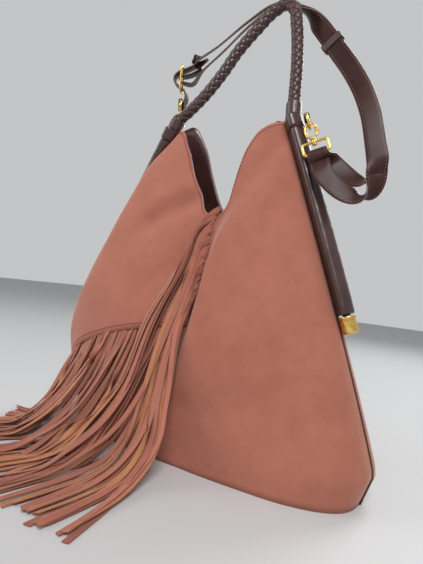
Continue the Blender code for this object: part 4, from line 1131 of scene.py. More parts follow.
HANDLE_PATH, HANDLE_LENGTH = route(handle_route())
SLEEVE_END = CAP_SHOWS + SLEEVE_LENGTH - COLLAR_LENGTH - PIECE_GAP
COLLAR_END = CAP_SHOWS + SLEEVE_LENGTH
WRAP_END = COLLAR_END + WRAP_LENGTH
STRAND_CENTRE = 5.1 * mm
STRAND_WEAVE = 0.95 * mm
STRAND_HALF_WIDTH = 2.95 * mm
STRAND_HALF_THICKNESS = 1.3 * mm
STRAND_SIDES = 10
STRAND_STEP = 1.25 * mm
PLAIT_TURN = 40 * mm
CORE_RADIUS = 4.3 * mm
CORE_SIDES = 12
CORE_STEPS = 160


def rounded(wave, power):
    """A sine or cosine with its corners filled out."""
    return math.copysign(abs(wave) ** power, wave)


def build_plait():
    """Eight flat strands round a core: four each way, each over one and under the next."""
    start = WRAP_END - 6 * mm
    length = HANDLE_LENGTH - 2 * start
    steps = int(length / STRAND_STEP)
    thread = Thread(HANDLE_PATH, start, HANDLE_LENGTH - start, steps)
    bm = bmesh.new()

    def strand_point(way, first, j):
        s = thread.stops[j]
        angle = first + way * 2 * math.pi * s / PLAIT_TURN
        radius = STRAND_CENTRE + way * STRAND_WEAVE * math.cos(8 * math.pi * s / PLAIT_TURN)
        return thread.round_at(j, angle, radius), angle

    for way in (-1, 1):
        for k in range(4):
            first = k * math.pi / 2
            middles = [strand_point(way, first, j) for j in range(steps + 1)]
            points = np.array([point for point, _ in middles])
            tangents = np.gradient(points, axis=0)

            def place(i, j):
                angle = middles[j][1]
                radial = math.cos(angle) * thread.sides[j] + math.sin(angle) * thread.ups[j]
                tangent = unit(tangents[j])
                across = unit(np.cross(radial, tangent))
                rise = np.cross(tangent, across)
                turn = 2 * math.pi * i / STRAND_SIDES
                a = rounded(math.cos(turn), 0.7) * STRAND_HALF_WIDTH
                b = rounded(math.sin(turn), 0.85) * STRAND_HALF_THICKNESS
                return points[j] + a * across + b * rise

            closed_tube(bm, steps, STRAND_SIDES, place, length=length / MAP_REPEAT)
    look, node = looks()["plait"], "braided_handle"
    finished("plaited_strands", bm, [look], stands_for=[node])
    start = CAP_WALL + PIECE_GAP
    core = Thread(HANDLE_PATH, start, HANDLE_LENGTH - start, CORE_STEPS)
    bm = bmesh.new()

    def core_place(i, j):
        return core.round_at(j, 2 * math.pi * i / CORE_SIDES, CORE_RADIUS)

    closed_tube(bm, CORE_STEPS, CORE_SIDES, core_place)
    finished("plait_core", bm, [looks()["plait"]])


def stretch(side, start, end, steps):
    """Steps along one end of the handle, measured from its cap."""
    if side > 0:
        start, end = HANDLE_LENGTH - start, HANDLE_LENGTH - end
    return Thread(HANDLE_PATH, start, end, steps)


TUBE_SIDES = 40
TUBE_END = 0.93


def flanged_tube(name, node, thread, round_radius, flange, unevenness):
    """A leather tube with a sewn flange on its front and its back, rounded over at both ends."""
    steps = len(thread.stops) - 1
    bm = bmesh.new()

    def place(i, j):
        turn = 2 * math.pi * i / TUBE_SIDES
        wave = unevenness * math.sin(j * 0.9 + 2 * turn) * math.sin(j * 0.37)
        radius = round_radius + flange * abs(math.cos(turn)) ** 8 + wave
        if j in (0, steps):
            radius *= TUBE_END
        return thread.round_at(j, turn, radius)

    closed_tube(bm, steps, TUBE_SIDES, place, length=4.0)
    finished(name, bm, [looks()["leather"]], stands_for=[node], flat_below=60)


def spun(bm, profile, origin, axis, steps=48):
    """Turns a profile of (along, radius) pairs round an axis."""
    axis = unit(axis)
    side = unit(np.cross(axis, (0.3, 1, 0.2)))
    verts = [bm.verts.new(origin + along * axis + radius * side) for along, radius in profile]
    edges = [bm.edges.new(pair) for pair in zip(verts, verts[1:])]
    middle, axis = Vector(origin), Vector(axis)
    full_turn = 2 * math.pi
    bmesh.ops.spin(
        bm, geom=verts + edges, cent=middle, axis=axis, angle=full_turn, steps=steps, use_merge=True
    )
    bmesh.ops.remove_doubles(bm, verts=bm.verts, dist=MERGE_DISTANCE)


def build_handle_ends():
    """The sleeve, collar, wrap and cap at each end of the handle."""
    around = SLEEVE_BORE + SLEEVE_WALL
    ease = 2 * PIECE_GAP
    sleeve = (around, SLEEVE_SEWN_EDGE, 0.16 * mm)
    collar = (around + ease, SLEEVE_SEWN_EDGE + COLLAR_WALL - ease, 0.05 * mm)
    wrap = (SLEEVE_BORE + WRAP_WALL, 0.0, 0.04 * mm)
    tubes = (
        ("sleeve", "side_sleeve_", (CAP_SHOWS, SLEEVE_END, 70), sleeve),
        ("collar", "sleeve_collar_", (SLEEVE_END, COLLAR_END, 12), collar),
        ("wrap", "handle_wrap_", (COLLAR_END, WRAP_END, 14), wrap),
    )
    for side, word in ((-1, "left"), (1, "right")):
        for name, node, (start, end, steps), form in tubes:
            way = stretch(side, start + PIECE_GAP, end, steps)
            flanged_tube(name + "_leather_" + word, node + word, way, *form)
        end_cap(side, word)


def end_cap(side, word):
    """A turned cup with a domed end and a rolled rim."""
    ends = stretch(side, 0.0, CAP_LENGTH, 1).points
    axis = ends[1] - ends[0]
    tall = np.linalg.norm(axis)
    outer = SLEEVE_BORE + CAP_WALL
    rim = outer + 0.6 * mm
    profile = [(0.0, 0.0), (0.0, 0.55 * outer), (0.25 * mm, 0.8 * outer), (0.8 * mm, 0.93 * outer)]
    profile += [(1.8 * mm, outer)]
    profile += [(tall - 4.4 * mm, outer), (tall - 4.1 * mm, outer - 0.35 * mm), (tall - 3.7 * mm, outer)]
    for turn in range(0, 181, 30):
        angle = math.radians(turn)
        along = tall - 1.4 * mm - 1.3 * mm * math.cos(angle)
        profile.append((along, outer + (rim - outer) * math.sin(angle)))
    profile += [(tall, outer - 0.3 * mm), (tall, SLEEVE_BORE), (CAP_WALL, SLEEVE_BORE), (CAP_WALL, 0.0)]
    bm = bmesh.new()
    spun(bm, profile, ends[0], axis)
    look, node = looks()["gold"], "handle_cap_" + word
    finished("cap_metal_" + word, bm, [look], stands_for=[node])


# Metal fittings


class Place:
    """A place with three directions: across, along the ring's bar and down the chain of fittings."""

    def __init__(self, origin, down, across):
        self.origin = np.array(origin)
        self.down = unit(down)
        self.across = square_to(np.asarray(across, float), self.down)
        self.bar = np.cross(self.down, self.across)

    def at(self, across, bar, down):
        return self.origin + across * self.across + bar * self.bar + down * self.down


def beside_peak(side, out, back, up):
    """A place given in millimetres from a side's peak."""
    return seam(side, BODY_HEIGHT) + np.array([out, back, up]) * mm


WIRE_RADIUS = WIRE / 2
BOW_DOWN = D_RING_DEPTH - WIRE
ARCH_DOWN = BOW_DOWN - WIRE - HOOK_LOOSENESS
HOOK_HALF = (HOOK_WIDTH - WIRE) / 2
HOOK_END = ARCH_DOWN + HOOK_LENGTH - WIRE
BARREL_START = HOOK_END + WIRE_RADIUS + PIECE_GAP
BARREL_MIDDLE = BARREL_START + BARREL_LENGTH / 2
STRAP_BAR_DOWN = BARREL_MIDDLE + STRAP_RING_DEPTH - WIRE
GATE_FOOT = (0.62 * HOOK_HALF, HOOK_END - 2.1 * mm)
RIGHT_FITTINGS = Place(beside_peak(1, 27.5, -3, 0), (0.41, -0.143, -0.90), (0.86, 0.25, 0.40))
LEFT_FITTINGS = Place(beside_peak(-1, -17, 14, 12), (-0.281, 0.4505, 0.848), (0.449, -0.721, 0.532))
SLIDER_PLACE = Place(beside_peak(-1, -27, 25, 85), (0.1, -0.168, 0.96), (0.5, -0.84, -0.2))


def wire(bm, points, radii, normal, closed=False, sides=18, fine=0.55 * mm, knurl=None):
    """A round wire bent in one plane through a few points, with a radius at each."""
    points = [np.asarray(point, float) for point in points]
    radii = list(radii)
    extra = 3 if closed else 0
    if closed:
        points = points[-extra:] + points + points[: extra + 1]
        radii = radii[-extra:] + radii + radii[: extra + 1]
    along = distances(points)
    path = spline(along, points)
    size = spline(along, radii)
    start, end = along[extra], along[-1 - extra]
    steps = max(4, int((end - start) / fine))

    def place(i, j):
        if closed:
            j = j % steps
        s = start + (end - start) * j / steps
        tangent = unit(path(s + 0.2 * mm) - path(s - 0.2 * mm))
        up = unit(np.cross(tangent, normal))
        turn = 2 * math.pi * i / sides
        radius = size(s)
        if not closed and j in (0, steps):
            radius *= 0.8
        if knurl and knurl[0] < j / steps < knurl[1]:
            radius *= 1 + 0.06 * (-1) ** j * (1 if i % 2 else 0.6)
        return path(s) + radius * (math.cos(turn) * normal + math.sin(turn) * up)

    closed_tube(bm, steps, sides, place, capped=not closed)


def metal(name, bm, body, node):
    finished(name, bm, [looks()["gold"]], body=body, stands_for=[node], flat_below=45)


def build_d_ring(word, place):
    """A ring with one straight bar and a deep bow."""
    half = (D_RING_WIDTH - WIRE) / 2
    points = [place.at(0, share * half, 0) for share in (-0.82, -0.4, 0.0, 0.4, 0.82)]
    for turn in (-25, 0, 25, 50, 75, 90, 105, 130, 155, 180, 205):
        angle = math.radians(turn)
        down = 0.4 * BOW_DOWN + 0.6 * BOW_DOWN * math.sin(angle)
        points.append(place.at(0, half * math.cos(angle), down))
    bm = bmesh.new()
    wire(bm, points, [WIRE_RADIUS] * len(points), place.across, closed=True)
    metal("d_ring_metal_" + word, bm, "d_ring_" + word, "d_ring_" + word)


# Turned parts of a hook as (along, radius) pairs in millimetres: the stem's button, whose radii are in
# wire radii, and the foot
STEM_BUTTON = (
    (0.0, 0.0), (0.0, 1.0), (0.3, 1.7), (0.7, 1.8), (1.3, 1.65), (1.6, 1.4), (1.9, 0.8), (1.95, 0.0)
)
HOOK_FOOT = ((0.0, 0.0), (0.0, 2.1), (0.5, 2.5), (1.3, 2.5), (1.8, 2.1), (1.8, 0.0))

# The gate from its tip: share of its length, share of the hook's half width, and size in wire radii
GATE_SHAPE = (
    (0.0, 1.0, 0.55),
    (0.05, 1.0, 0.9),
    (0.12, 1.0, 1.0),
    (0.3, 1.02, 1.25),
    (0.55, 1.0, 1.25),
    (0.75, 0.9, 0.98),
)

# Where the hook's bar turns in to its stem: share of the half width, and distance before the hook's end
HOOK_SHOULDER = ((-1, 7 * mm), (-0.8, 3.4 * mm), (-0.3, 1.2 * mm))


def build_hook(word, place):
    """The snap hook's bent bar with its turning stem, and the ribbed gate."""
    arch = ARCH_DOWN + HOOK_HALF
    nose = arch + 0.8 * mm
    points = [place.at(HOOK_HALF, 0, nose)]
    for turn in (0, 30, 60, 90, 120, 150, 180):
        angle = math.radians(turn)
        points.append(place.at(HOOK_HALF * math.cos(angle), 0, arch - HOOK_HALF * math.sin(angle)))
    for share, before in HOOK_SHOULDER:
        points.append(place.at(share * HOOK_HALF, 0, HOOK_END - before))
    radii = [WIRE_RADIUS] * len(points)
    stem_end = BARREL_START + BARREL_LENGTH + PIECE_GAP
    for down in (HOOK_END + 0.6 * mm, stem_end - 0.8 * mm):
        points.append(place.at(0, 0, down))
        radii.append(WIRE_RADIUS)
    bm = bmesh.new()
    wire(bm, points, radii, place.bar)
    button = [(along * mm, share * WIRE_RADIUS) for along, share in STEM_BUTTON]
    spun(bm, button, place.at(0, 0, stem_end), place.down, 24)
    foot = [(along * mm, radius * mm) for along, radius in HOOK_FOOT]
    spun(bm, foot, place.at(0, 0, HOOK_END - 0.6 * mm), place.down, 24)
    metal("hook_metal_" + word, bm, "hook_" + word, "hook_frame_" + word)
    tip = nose + 2 * PIECE_GAP
    tall = GATE_FOOT[1] - tip
    points = [place.at(out * HOOK_HALF, 0, tip + share * tall) for share, out, _ in GATE_SHAPE]
    radii = [size * WIRE_RADIUS for _, _, size in GATE_SHAPE]
    points.append(place.at(GATE_FOOT[0], 0, GATE_FOOT[1]))
    radii.append(0.7 * WIRE_RADIUS)
    bm = bmesh.new()
    wire(bm, points, radii, place.bar, fine=0.3 * mm, sides=24, knurl=(0.2, 0.62))
    metal("gate_metal_" + word, bm, "gate_" + word, "hook_gate_" + word)


def rounded_loop(half_a, half_b, corner, turns=(0, 22.5, 45, 67.5, 90)):
    """A rectangle with rounded corners, as (a, b) points going round."""
    points = []
    for sign_a, sign_b, start in ((1, 1, 0), (-1, 1, 90), (-1, -1, 180), (1, -1, 270)):
        for turn in turns:
            angle = math.radians(start + turn)
            a = sign_a * (half_a - corner) + corner * math.cos(angle)
            b = sign_b * (half_b - corner) + corner * math.sin(angle)
            points.append((a, b))
    return points


def straightened(points, gap=3 * mm):
    """Adds points along a loop's straight runs, so that a smooth curve through them stays straight."""
    filled = []
    for k, point in enumerate(points):
        following = np.asarray(points[(k + 1) % len(points)], float)
        point = np.asarray(point, float)
        filled.append(point)
        pieces = int(np.linalg.norm(following - point) / gap)
        for piece in range(1, pieces + 1):
            filled.append(point + (following - point) * piece / (pieces + 1))
    return filled


def build_strap_ring(word, place):
    """The ring the strap is sewn round, with a barrel the hook's stem turns in."""
    middle = BARREL_MIDDLE + (STRAP_RING_DEPTH - WIRE) / 2
    half_a, half_b = (STRAP_RING_WIDTH - WIRE) / 2, (STRAP_RING_DEPTH - WIRE) / 2
    points = [place.at(a, 0, middle + b) for a, b in straightened(rounded_loop(half_a, half_b, 3 * mm))]
    bm = bmesh.new()
    wire(bm, points, [WIRE_RADIUS] * len(points), place.bar, closed=True)
    bore = WIRE_RADIUS + PIECE_GAP
    outer = 2 * WIRE_RADIUS
    edge = 0.4 * mm
    profile = [(0.0, bore), (0.0, outer - edge), (edge, outer), (BARREL_LENGTH - edge, outer)]
    profile += [(BARREL_LENGTH, outer - edge), (BARREL_LENGTH, bore), (0.0, bore)]
    spun(bm, profile, place.at(0, 0, BARREL_START), place.down, 32)
    metal("strap_ring_metal_" + word, bm, "bag", "strap_ring_" + word)


# A tab's cut across, as (share of the wall, side) pairs, and how many stops it has round and at its foot
TAB_SECTION = (
    (0.0, -1.0), (0.0, 0.0), (0.0, 1.0), (0.15, 1.0), (0.85, 1.0), (1.0, 1.0), (1.0, 0.0), (1.0, -1.0)
)
TAB_STOPS = 48
TAB_FOOT_STOPS = 4


def build_tab(word, place, radius):
    """A leather loop round the D ring's bar, with a foot that reaches the handle's end."""
    stops = np.linspace(0, HANDLE_LENGTH, 200)
    near = min((HANDLE_PATH(stop) for stop in stops), key=lambda p: np.linalg.norm(p - place.origin))
    toward = near - place.origin
    toward = toward - place.bar * np.dot(toward, place.bar)
    foot = np.linalg.norm(toward) - radius - PIECE_GAP
    toward = unit(toward)
    across = np.cross(place.bar, toward)
    bore = WIRE_RADIUS + PIECE_GAP
    outer = bore + TAB_WALL

    def place_of(i, j):
        wall, sign = TAB_SECTION[i]
        stop = j % TAB_STOPS
        angle = math.radians(15 + 330 * stop / (TAB_STOPS - 1))
        ray = math.cos(angle) * toward + math.sin(angle) * across
        edge = outer * ray
        end = min(stop, TAB_STOPS - 1 - stop)
        if end < TAB_FOOT_STOPS:
            foot_edge = foot * toward + math.copysign(TAB_WALL, math.sin(angle)) * across
            share = end / TAB_FOOT_STOPS
            edge = foot_edge * (1 - share) + edge * share
        point = bore * ray * (1 - wall) + edge * wall
        return place.origin + sign * TAB_LENGTH / 2 * place.bar + point

    bm = bmesh.new()
    closed_tube(bm, TAB_STOPS, len(TAB_SECTION), place_of, capped=False)
    name, node = "tab_leather_" + word, "ring_tab_" + word
    tab = finished(name, bm, [looks()["leather"]], stands_for=[node], flat_below=40)
    soften = tab.modifiers.new("edges", "BEVEL")
    soften.width = 0.3 * mm
    soften.segments = 2
    soften.limit_method = "ANGLE"


def build_fittings():
    """The chain of fittings on each side, hung from a handle end of about the radius, and the slider."""
    for word, place, radius in (("left", LEFT_FITTINGS, 9.2 * mm), ("right", RIGHT_FITTINGS, 11.0 * mm)):
        build_tab(word, place, radius)
        build_d_ring(word, place)
        build_hook(word, place)
        build_strap_ring(word, place)
    build_slider()


def build_slider():
    """A metal frame with a bar across its middle for the strap."""
    place = SLIDER_PLACE
    half_a, half_b = (SLIDER_WIDTH - WIRE) / 2, (SLIDER_HEIGHT - WIRE) / 2
    loop = [place.at(a, 0, b) for a, b in straightened(rounded_loop(half_a, half_b, 5 * mm))]
    bm = bmesh.new()
    wire(bm, loop, [WIRE_RADIUS] * len(loop), place.bar, closed=True)
    ends = [place.at(share * half_a, 0, 0) for share in (-1, -0.5, 0, 0.5, 1)]
    wire(bm, ends, [0.98 * WIRE_RADIUS] * len(ends), place.bar)
    metal("slider_metal", bm, "bag", "strap_slider")


# Strap

KEEPER_WIDTH_WAY = (0.94, -0.14, 0.31)
KEEPER_AT = 8
STRAP_ROUTE = (
    ((-88, 15, 99), (0.40, -0.76, -0.5), 4.3),
    ((-58.5, 16, 118), (0.33, -0.72, -0.59), 3.0),
    ((-19.4, 17, 145.3), (0.2, -0.75, -0.6), 1.6),
    ((9.2, 18, 160), (0.1, -0.78, -0.6), 1.1),
    ((28.5, 19, 162), (0, -0.79, -0.62), 1.0),
    ((49.8, 20, 149), (0.3, -0.72, -0.4), 1.0),
    ((73.9, 18, 123.3), (0.8, -0.4, 0.2), 1.0),
    ((85.3, 15.8, 108.6), KEEPER_WIDTH_WAY, 1.0),
    ((94.1, 14.5, 96.5), KEEPER_WIDTH_WAY, 1.0),
    ((102.9, 13.2, 84.4), KEEPER_WIDTH_WAY, 1.0),
    ((121, 11, 59), (0.96, 0.0, 0.25), 1.0),
    ((138, 6, 30), (0.98, 0.1, 0.15), 1.0),
    ((149, 3, 4), (0.98, 0.2, 0.05), 1.07),
    ((157, 0, -25), (0.96, 0.25, 0.05), 1.13),
    ((164, -3, -55), (0.93, 0.33, 0.1), 1.6),
)

# Which way the strap's width lies in the loop at the lower right, at its bend and beside the ring
STRAP_LOOP_WIDTH = (0.62, 0.45, 0.62)
BEND_WIDTH = (0.35, 0.9, 0.28)
RING_SIDE_WIDTH = (0.75, 0.38, 0.55)
LOOP_OUT = (
    ((162, -2, -76), BEND_WIDTH),
    ((150, -2, -75), (0.45, 0.75, 0.5)),
    ((132, -3, -61), STRAP_LOOP_WIDTH),
    ((116, -6, -48), RING_SIDE_WIDTH),
)
LOOP_BACK = (
    ((112, -24, -60), RING_SIDE_WIDTH),
    ((128, -22, -79), STRAP_LOOP_WIDTH),
    ((145, -16, -92), STRAP_LOOP_WIDTH),
    ((160, -9, -91), BEND_WIDTH),
    ((167, -6, -79), BEND_WIDTH),
)

# The strap by the slider, in millimetres out of it and up it: the inner layer's end, and the way of the
# outer layer through it to the left ring
INNER_BY_SLIDER = (
    (26, 15), (18, 9.5), (10, 5.6), (4, 3.8), (0, 3.2), (-2.3, 2.3), (-3.2, 0), (-2.3, -2.3),
    (0.6, -3.5), (4.5, -5), (12, -5.5),
)
OUTER_BY_SLIDER = (
    (26, 25), (13, 16.5), (4, 11.8), (-3, 8.6), (-8, 4.2), (-10, -1), (-8, -6.4), (-3, -10),
    (2.8, -12.6), (6.6, -17.6),
)
RING_RUN = 4.5 * mm


def from_top(x, y, up):
    """A place given in millimetres from the middle of the bag's top."""
    return np.array([x * mm, y * mm, BODY_HEIGHT + up * mm])


def strap_route():
    """The strap as one band: points and width directions from its sewn tab to its sewn left end."""
    slider = SLIDER_PLACE

    def by_slider(stops):
        points = [slider.origin + a * mm * slider.bar + b * mm * slider.down for a, b in stops]
        return [(point, slider.across) for point in points]

    middle = np.array([from_top(*point) for point, _, _ in STRAP_ROUTE])
    tangents = np.gradient(middle, axis=0)
    inner, outer = [], []
    for point, tangent, (_, width, apart) in zip(middle, tangents, STRAP_ROUTE):
        tangent = unit(tangent)
        width = square_to(np.asarray(width, float), tangent)
        inward = np.cross(tangent, width)
        inner.append((point + apart / 2 * LAYER_SPACING * inward, width))
        outer.append((point - apart / 2 * LAYER_SPACING * inward, width))
    turn = WIRE_RADIUS + PIECE_GAP + STRAP_THICKNESS / 2 + 0.25 * mm

    def round_bar(place):
        """Once round a ring's bar, with a straight run before and after."""
        made = [place.at(0, turn, STRAP_BAR_DOWN + RING_RUN)]
        for angle in (0, 45, 90, 135, 180):
            a = math.radians(angle)
            made.append(place.at(0, turn * math.cos(a), STRAP_BAR_DOWN - turn * math.sin(a)))
        made.append(place.at(0, -turn, STRAP_BAR_DOWN + RING_RUN))
        return [(point, place.across) for point in made]

    def spots(pairs):
        return [(from_top(*point), np.array(width)) for point, width in pairs]

    points = by_slider(INNER_BY_SLIDER) + inner + spots(LOOP_OUT) + round_bar(RIGHT_FITTINGS)
    points += spots(LOOP_BACK) + outer[::-1] + by_slider(OUTER_BY_SLIDER) + round_bar(LEFT_FITTINGS)
    return points


BAND_STOPS = 420
EASING_ROUNDS = 70


class Band:
    """The strap's middle line with its width and thickness directions, its lower right bend eased."""

    def __init__(self):
        stations = strap_route()
        points = np.array([point for point, _ in stations])
        widths = np.array([width for _, width in stations])
        along = distances(points)
        stops = np.linspace(0, along[-1], BAND_STOPS)
        path, turn = spline(along, points), spline(along, widths)
        points = np.array([path(s) for s in stops])
        widths = np.array([turn(s) for s in stops])
        aside = [smooth((x - 118 * mm) / (22 * mm)) for x in points[:, 0]]
        low = [smooth((BODY_HEIGHT - 42 * mm - z) / (20 * mm)) for z in points[:, 2]]
        loose = 0.5 * np.multiply(aside, low)[1:-1, None]
        for _ in range(EASING_ROUNDS):
            for line in (points, widths):
                line[1:-1] += loose * ((line[:-2] + line[2:]) / 2 - line[1:-1])
        along = distances(points)
        self.path = spline(along, points)
        self.turn = spline(along, widths)
        self.length = along[-1]

    def frame(self, s):
        """The point at a distance along the strap, and its length, width and thickness directions."""
        s = min(max(s, 0.0), self.length)
        step = 0.3 * mm
        tangent = unit(self.path(s + step) - self.path(s - step))
        width = square_to(self.turn(s), tangent)
        return self.path(s), tangent, width, np.cross(tangent, width)


BAND = Band()


STRAP_STEP = 2.4 * mm
STRAP_EDGE = 0.75 * mm
STRAP_PADDING = 0.12


def build_strap():
    """The whole strap as one band with rounded edges and a slightly padded middle."""
    steps = int(BAND.length / STRAP_STEP)
    half, thick = STRAP_WIDTH / 2, STRAP_THICKNESS / 2
    edge = STRAP_EDGE
    top = [(half - edge * 0.3, thick * 0.75), (half - edge, thick)]
    for share in (0.6, 0.25, -0.25, -0.6):
        top.append((share * half, thick * (1 + STRAP_PADDING * (1 - share * share))))
    top += [(-half + edge, thick), (-half + edge * 0.3, thick * 0.75), (-half, 0.0)]
    section = [(half, 0.0)] + top + [(-a, -b) for a, b in top[:-1]]
    frames = [BAND.frame(BAND.length * j / steps) for j in range(steps + 1)]

    def place(i, j):
        point, _, width, normal = frames[j]
        a, b = section[i]
        return point + a * width + b * normal

    bm = bmesh.new()
    closed_tube(bm, steps, len(section), place, length=BAND.length / MAP_REPEAT)
    look, node = looks()["strap"], "shoulder_strap"
    finished("strap_leather", bm, [look], stands_for=[node], flat_below=60)


KEEPER_SECTION = ((0, -1), (1, -0.85), (1.0, -0.55), (1.08, 0.0), (1.0, 0.55), (1, 0.85), (0, 1))


def build_keeper():
    """A leather band round both layers of the strap."""
    before, at, after = (from_top(*STRAP_ROUTE[KEEPER_AT + k][0]) for k in (-1, 0, 1))
    along = unit(after - before)
    width = square_to(np.asarray(KEEPER_WIDTH_WAY), along)
    normal = np.cross(along, width)
    inner_a = STRAP_WIDTH / 2 + 2 * PIECE_GAP
    inner_b = (LAYER_SPACING + STRAP_THICKNESS) / 2 + 2 * PIECE_GAP
    loop = straightened(rounded_loop(inner_a, inner_b, 0.6 * mm))
    outside = straightened(rounded_loop(inner_a + KEEPER_WALL, inner_b + KEEPER_WALL, KEEPER_WALL))
    count = min(len(loop), len(outside))

    def place(i, j):
        j = j % count
        wall, sign = KEEPER_SECTION[i]
        (a, b), (c, d) = loop[j], outside[j]
        side = a + (c - a) * wall
        face = b + (d - b) * wall
        return at + sign * KEEPER_LENGTH / 2 * along + side * width + face * normal

    bm = bmesh.new()
    closed_tube(bm, count, len(KEEPER_SECTION), place, capped=False)
    look, node = looks()["leather"], "strap_keeper"
    finished("keeper_leather", bm, [look], "keeper", stands_for=[node], flat_below=60)


# Stitching


STITCH_INSET = 3.6 * mm
STITCH_RAISED = 0.12
SLEEVE_ROW_STEPS = 120
SLEEVE_ROW_TURNS = (-12, 12)
WRAP_ROW_STEPS = 12
WRAP_ROW_TURN = 0.6
WRAP_PITCH, WRAP_STITCH = 2.4 * mm, 1.9 * mm
STRAP_ROW_STEPS = 420
STRAP_ROW_INSET = 2.2 * mm
STRAP_PITCH, STRAP_STITCH, STRAP_THREAD = 3.4 * mm, 2.4 * mm, 0.5 * mm


def stitch_row(bm, points, normals, pitch, long, thick):
    """Short sunken stitches along a row of points."""
    points = np.asarray(points, float)
    normals = np.asarray(normals, float)
    along = distances(points)

    def read(rows, s):
        return np.array([np.interp(s, along, rows[:, axis]) for axis in range(3)])

    for k in range(int(along[-1] / pitch)):
        s = (k + 0.5) * pitch
        here = read(points, s)
        after = read(points, s + 0.3 * pitch)
        if np.linalg.norm(after - here) < MERGE_DISTANCE:
            continue
        tangent = unit(after - here)
        up = unit(read(normals, s))
        side = unit(np.cross(up, tangent))
        up = np.cross(tangent, side)
        matrix = Matrix.Identity(4)
        axes = (tangent * (long / 2), side * (thick / 2), up * (thick / 2))
        for column, axis in enumerate(axes):
            matrix.col[column] = (*axis, 0.0)
        matrix.translation = here + up * thick * STITCH_RAISED
        bmesh.ops.create_icosphere(bm, subdivisions=1, radius=1, matrix=matrix)


def stitch_suede(bm, sizes):
    """The rows along the wings' edges and the arched seam."""
    front, back = surfaces()
    wings = (
        (front, range(1, Fine.left)),
        (front, range(Fine.left + 1, front.columns)),
        (back, range(1, back.columns)),
    )
    for surface, columns in wings:
        rows = [surface.inset_from_top(i, STITCH_INSET) for i in columns]
        stitch_row(bm, [point for point, _ in rows], [normal for _, normal in rows], *sizes)
    place = yoke_place(front)
    arch = [place(i, Fine.low + 1) for i in range(1, Fine.left)]
    stitch_row(bm, arch, [front.normal[i, Fine.low + 1] for i in range(1, Fine.left)], *sizes)


def stitch_facing(bm, sizes):
    """The same rows of the wings where they show on the facing."""
    inside = SUEDE_THICKNESS + PIECE_GAP + FACING_THICKNESS
    for surface in surfaces():
        rows = [surface.inset_from_top(i, STITCH_INSET) for i in range(1, surface.columns)]
        stitch_row(bm, [point - n * inside for point, n in rows], [-n for _, n in rows], *sizes)


def stitch_leather(bm, sizes):
    """Two rows beside each sewn flange of the sleeves, and a short one on each wrap."""
    pitch, long, thick = sizes
    for side in (-1, 1):
        sleeve = stretch(side, CAP_SHOWS + 4 * mm, SLEEVE_END - 3 * mm, SLEEVE_ROW_STEPS)
        stops = range(SLEEVE_ROW_STEPS + 1)
        radius = SLEEVE_BORE + SLEEVE_WALL + 0.45 * SLEEVE_SEWN_EDGE
        for behind in (math.pi, 0):
            for turn in SLEEVE_ROW_TURNS:
                angle = math.radians(turn) + behind
                up = math.copysign(1, math.sin(angle))
                points = [sleeve.round_at(j, angle, radius) for j in stops]
                normals = [sleeve.at(j, 0, up) - sleeve.points[j] for j in stops]
                stitch_row(bm, points, normals, pitch, long, 0.8 * thick)
        wrap = stretch(side, COLLAR_END + 2 * mm, WRAP_END - 1 * mm, WRAP_ROW_STEPS)
        radius = SLEEVE_BORE + WRAP_WALL
        a, b = -radius * math.cos(WRAP_ROW_TURN), radius * math.sin(WRAP_ROW_TURN)
        points = [wrap.at(j, a, b) for j in range(WRAP_ROW_STEPS + 1)]
        normals = [point - wrap.points[j] for j, point in enumerate(points)]
        stitch_row(bm, points, normals, WRAP_PITCH, WRAP_STITCH, 0.9 * thick)


def stitch_strap(bm):
    """A row along both edges of the strap, on both of its faces."""
    shares = [0.01 + 0.98 * j / STRAP_ROW_STEPS for j in range(STRAP_ROW_STEPS + 1)]
    frames = [BAND.frame(BAND.length * share) for share in shares]
    out = STRAP_WIDTH / 2 - STRAP_ROW_INSET
    for sign in (-1, 1):
        for face in (-1, 1):
            lift = face * STRAP_THICKNESS / 2
            points = [point + sign * out * width + lift * normal for point, _, width, normal in frames]
            normals = [face * normal for _, _, _, normal in frames]
            stitch_row(bm, points, normals, STRAP_PITCH, STRAP_STITCH, STRAP_THREAD)


def build_stitching():
    settings = bpy.context.scene.bag_stitches
    sizes = (settings.pitch, settings.length, settings.thickness)
    for name, sew, slot in (
        ("suede_stitching", stitch_suede, "suede"),
        ("facing_stitching", stitch_facing, "facing_leather"),
        ("leather_stitching", stitch_leather, "dark_leather"),
    ):
        bm = bmesh.new()
        sew(bm, sizes)
        finished(name, bm, [looks()["red_thread"]], flat_below=0)
    bm = bmesh.new()
    stitch_strap(bm)
    finished("strap_stitching", bm, [looks()["pale_thread"]], flat_below=0)


# Stage


CAMERA_TURN = 32
CAMERA_TILT = 1.06
CAMERA_ROLL = 7
CAMERA_PLACE = (0.276, -0.472, 0.192)
SENSOR_HEIGHT = 36
FOCAL_SHARE = 453 / 564
STUDIO_COLOUR = (0.86, 0.87, 0.88, 1.0)
FLOOR_COLOUR = (0.6, 0.605, 0.61, 1.0)
FLOOR_HALF_SIZE = 6

# Each lamp's name, place, size and share of the key light's power
LAMPS = (
    ("key", (0.9, -1.3, 1.7), 1.1, 1.0),
    ("fill", (-1.6, -1.1, 0.9), 1.6, 0.35),
    ("rim", (0.3, 1.6, 1.5), 1.0, 0.5),
)
LAMP_TARGET = (0, 0, 0.2)


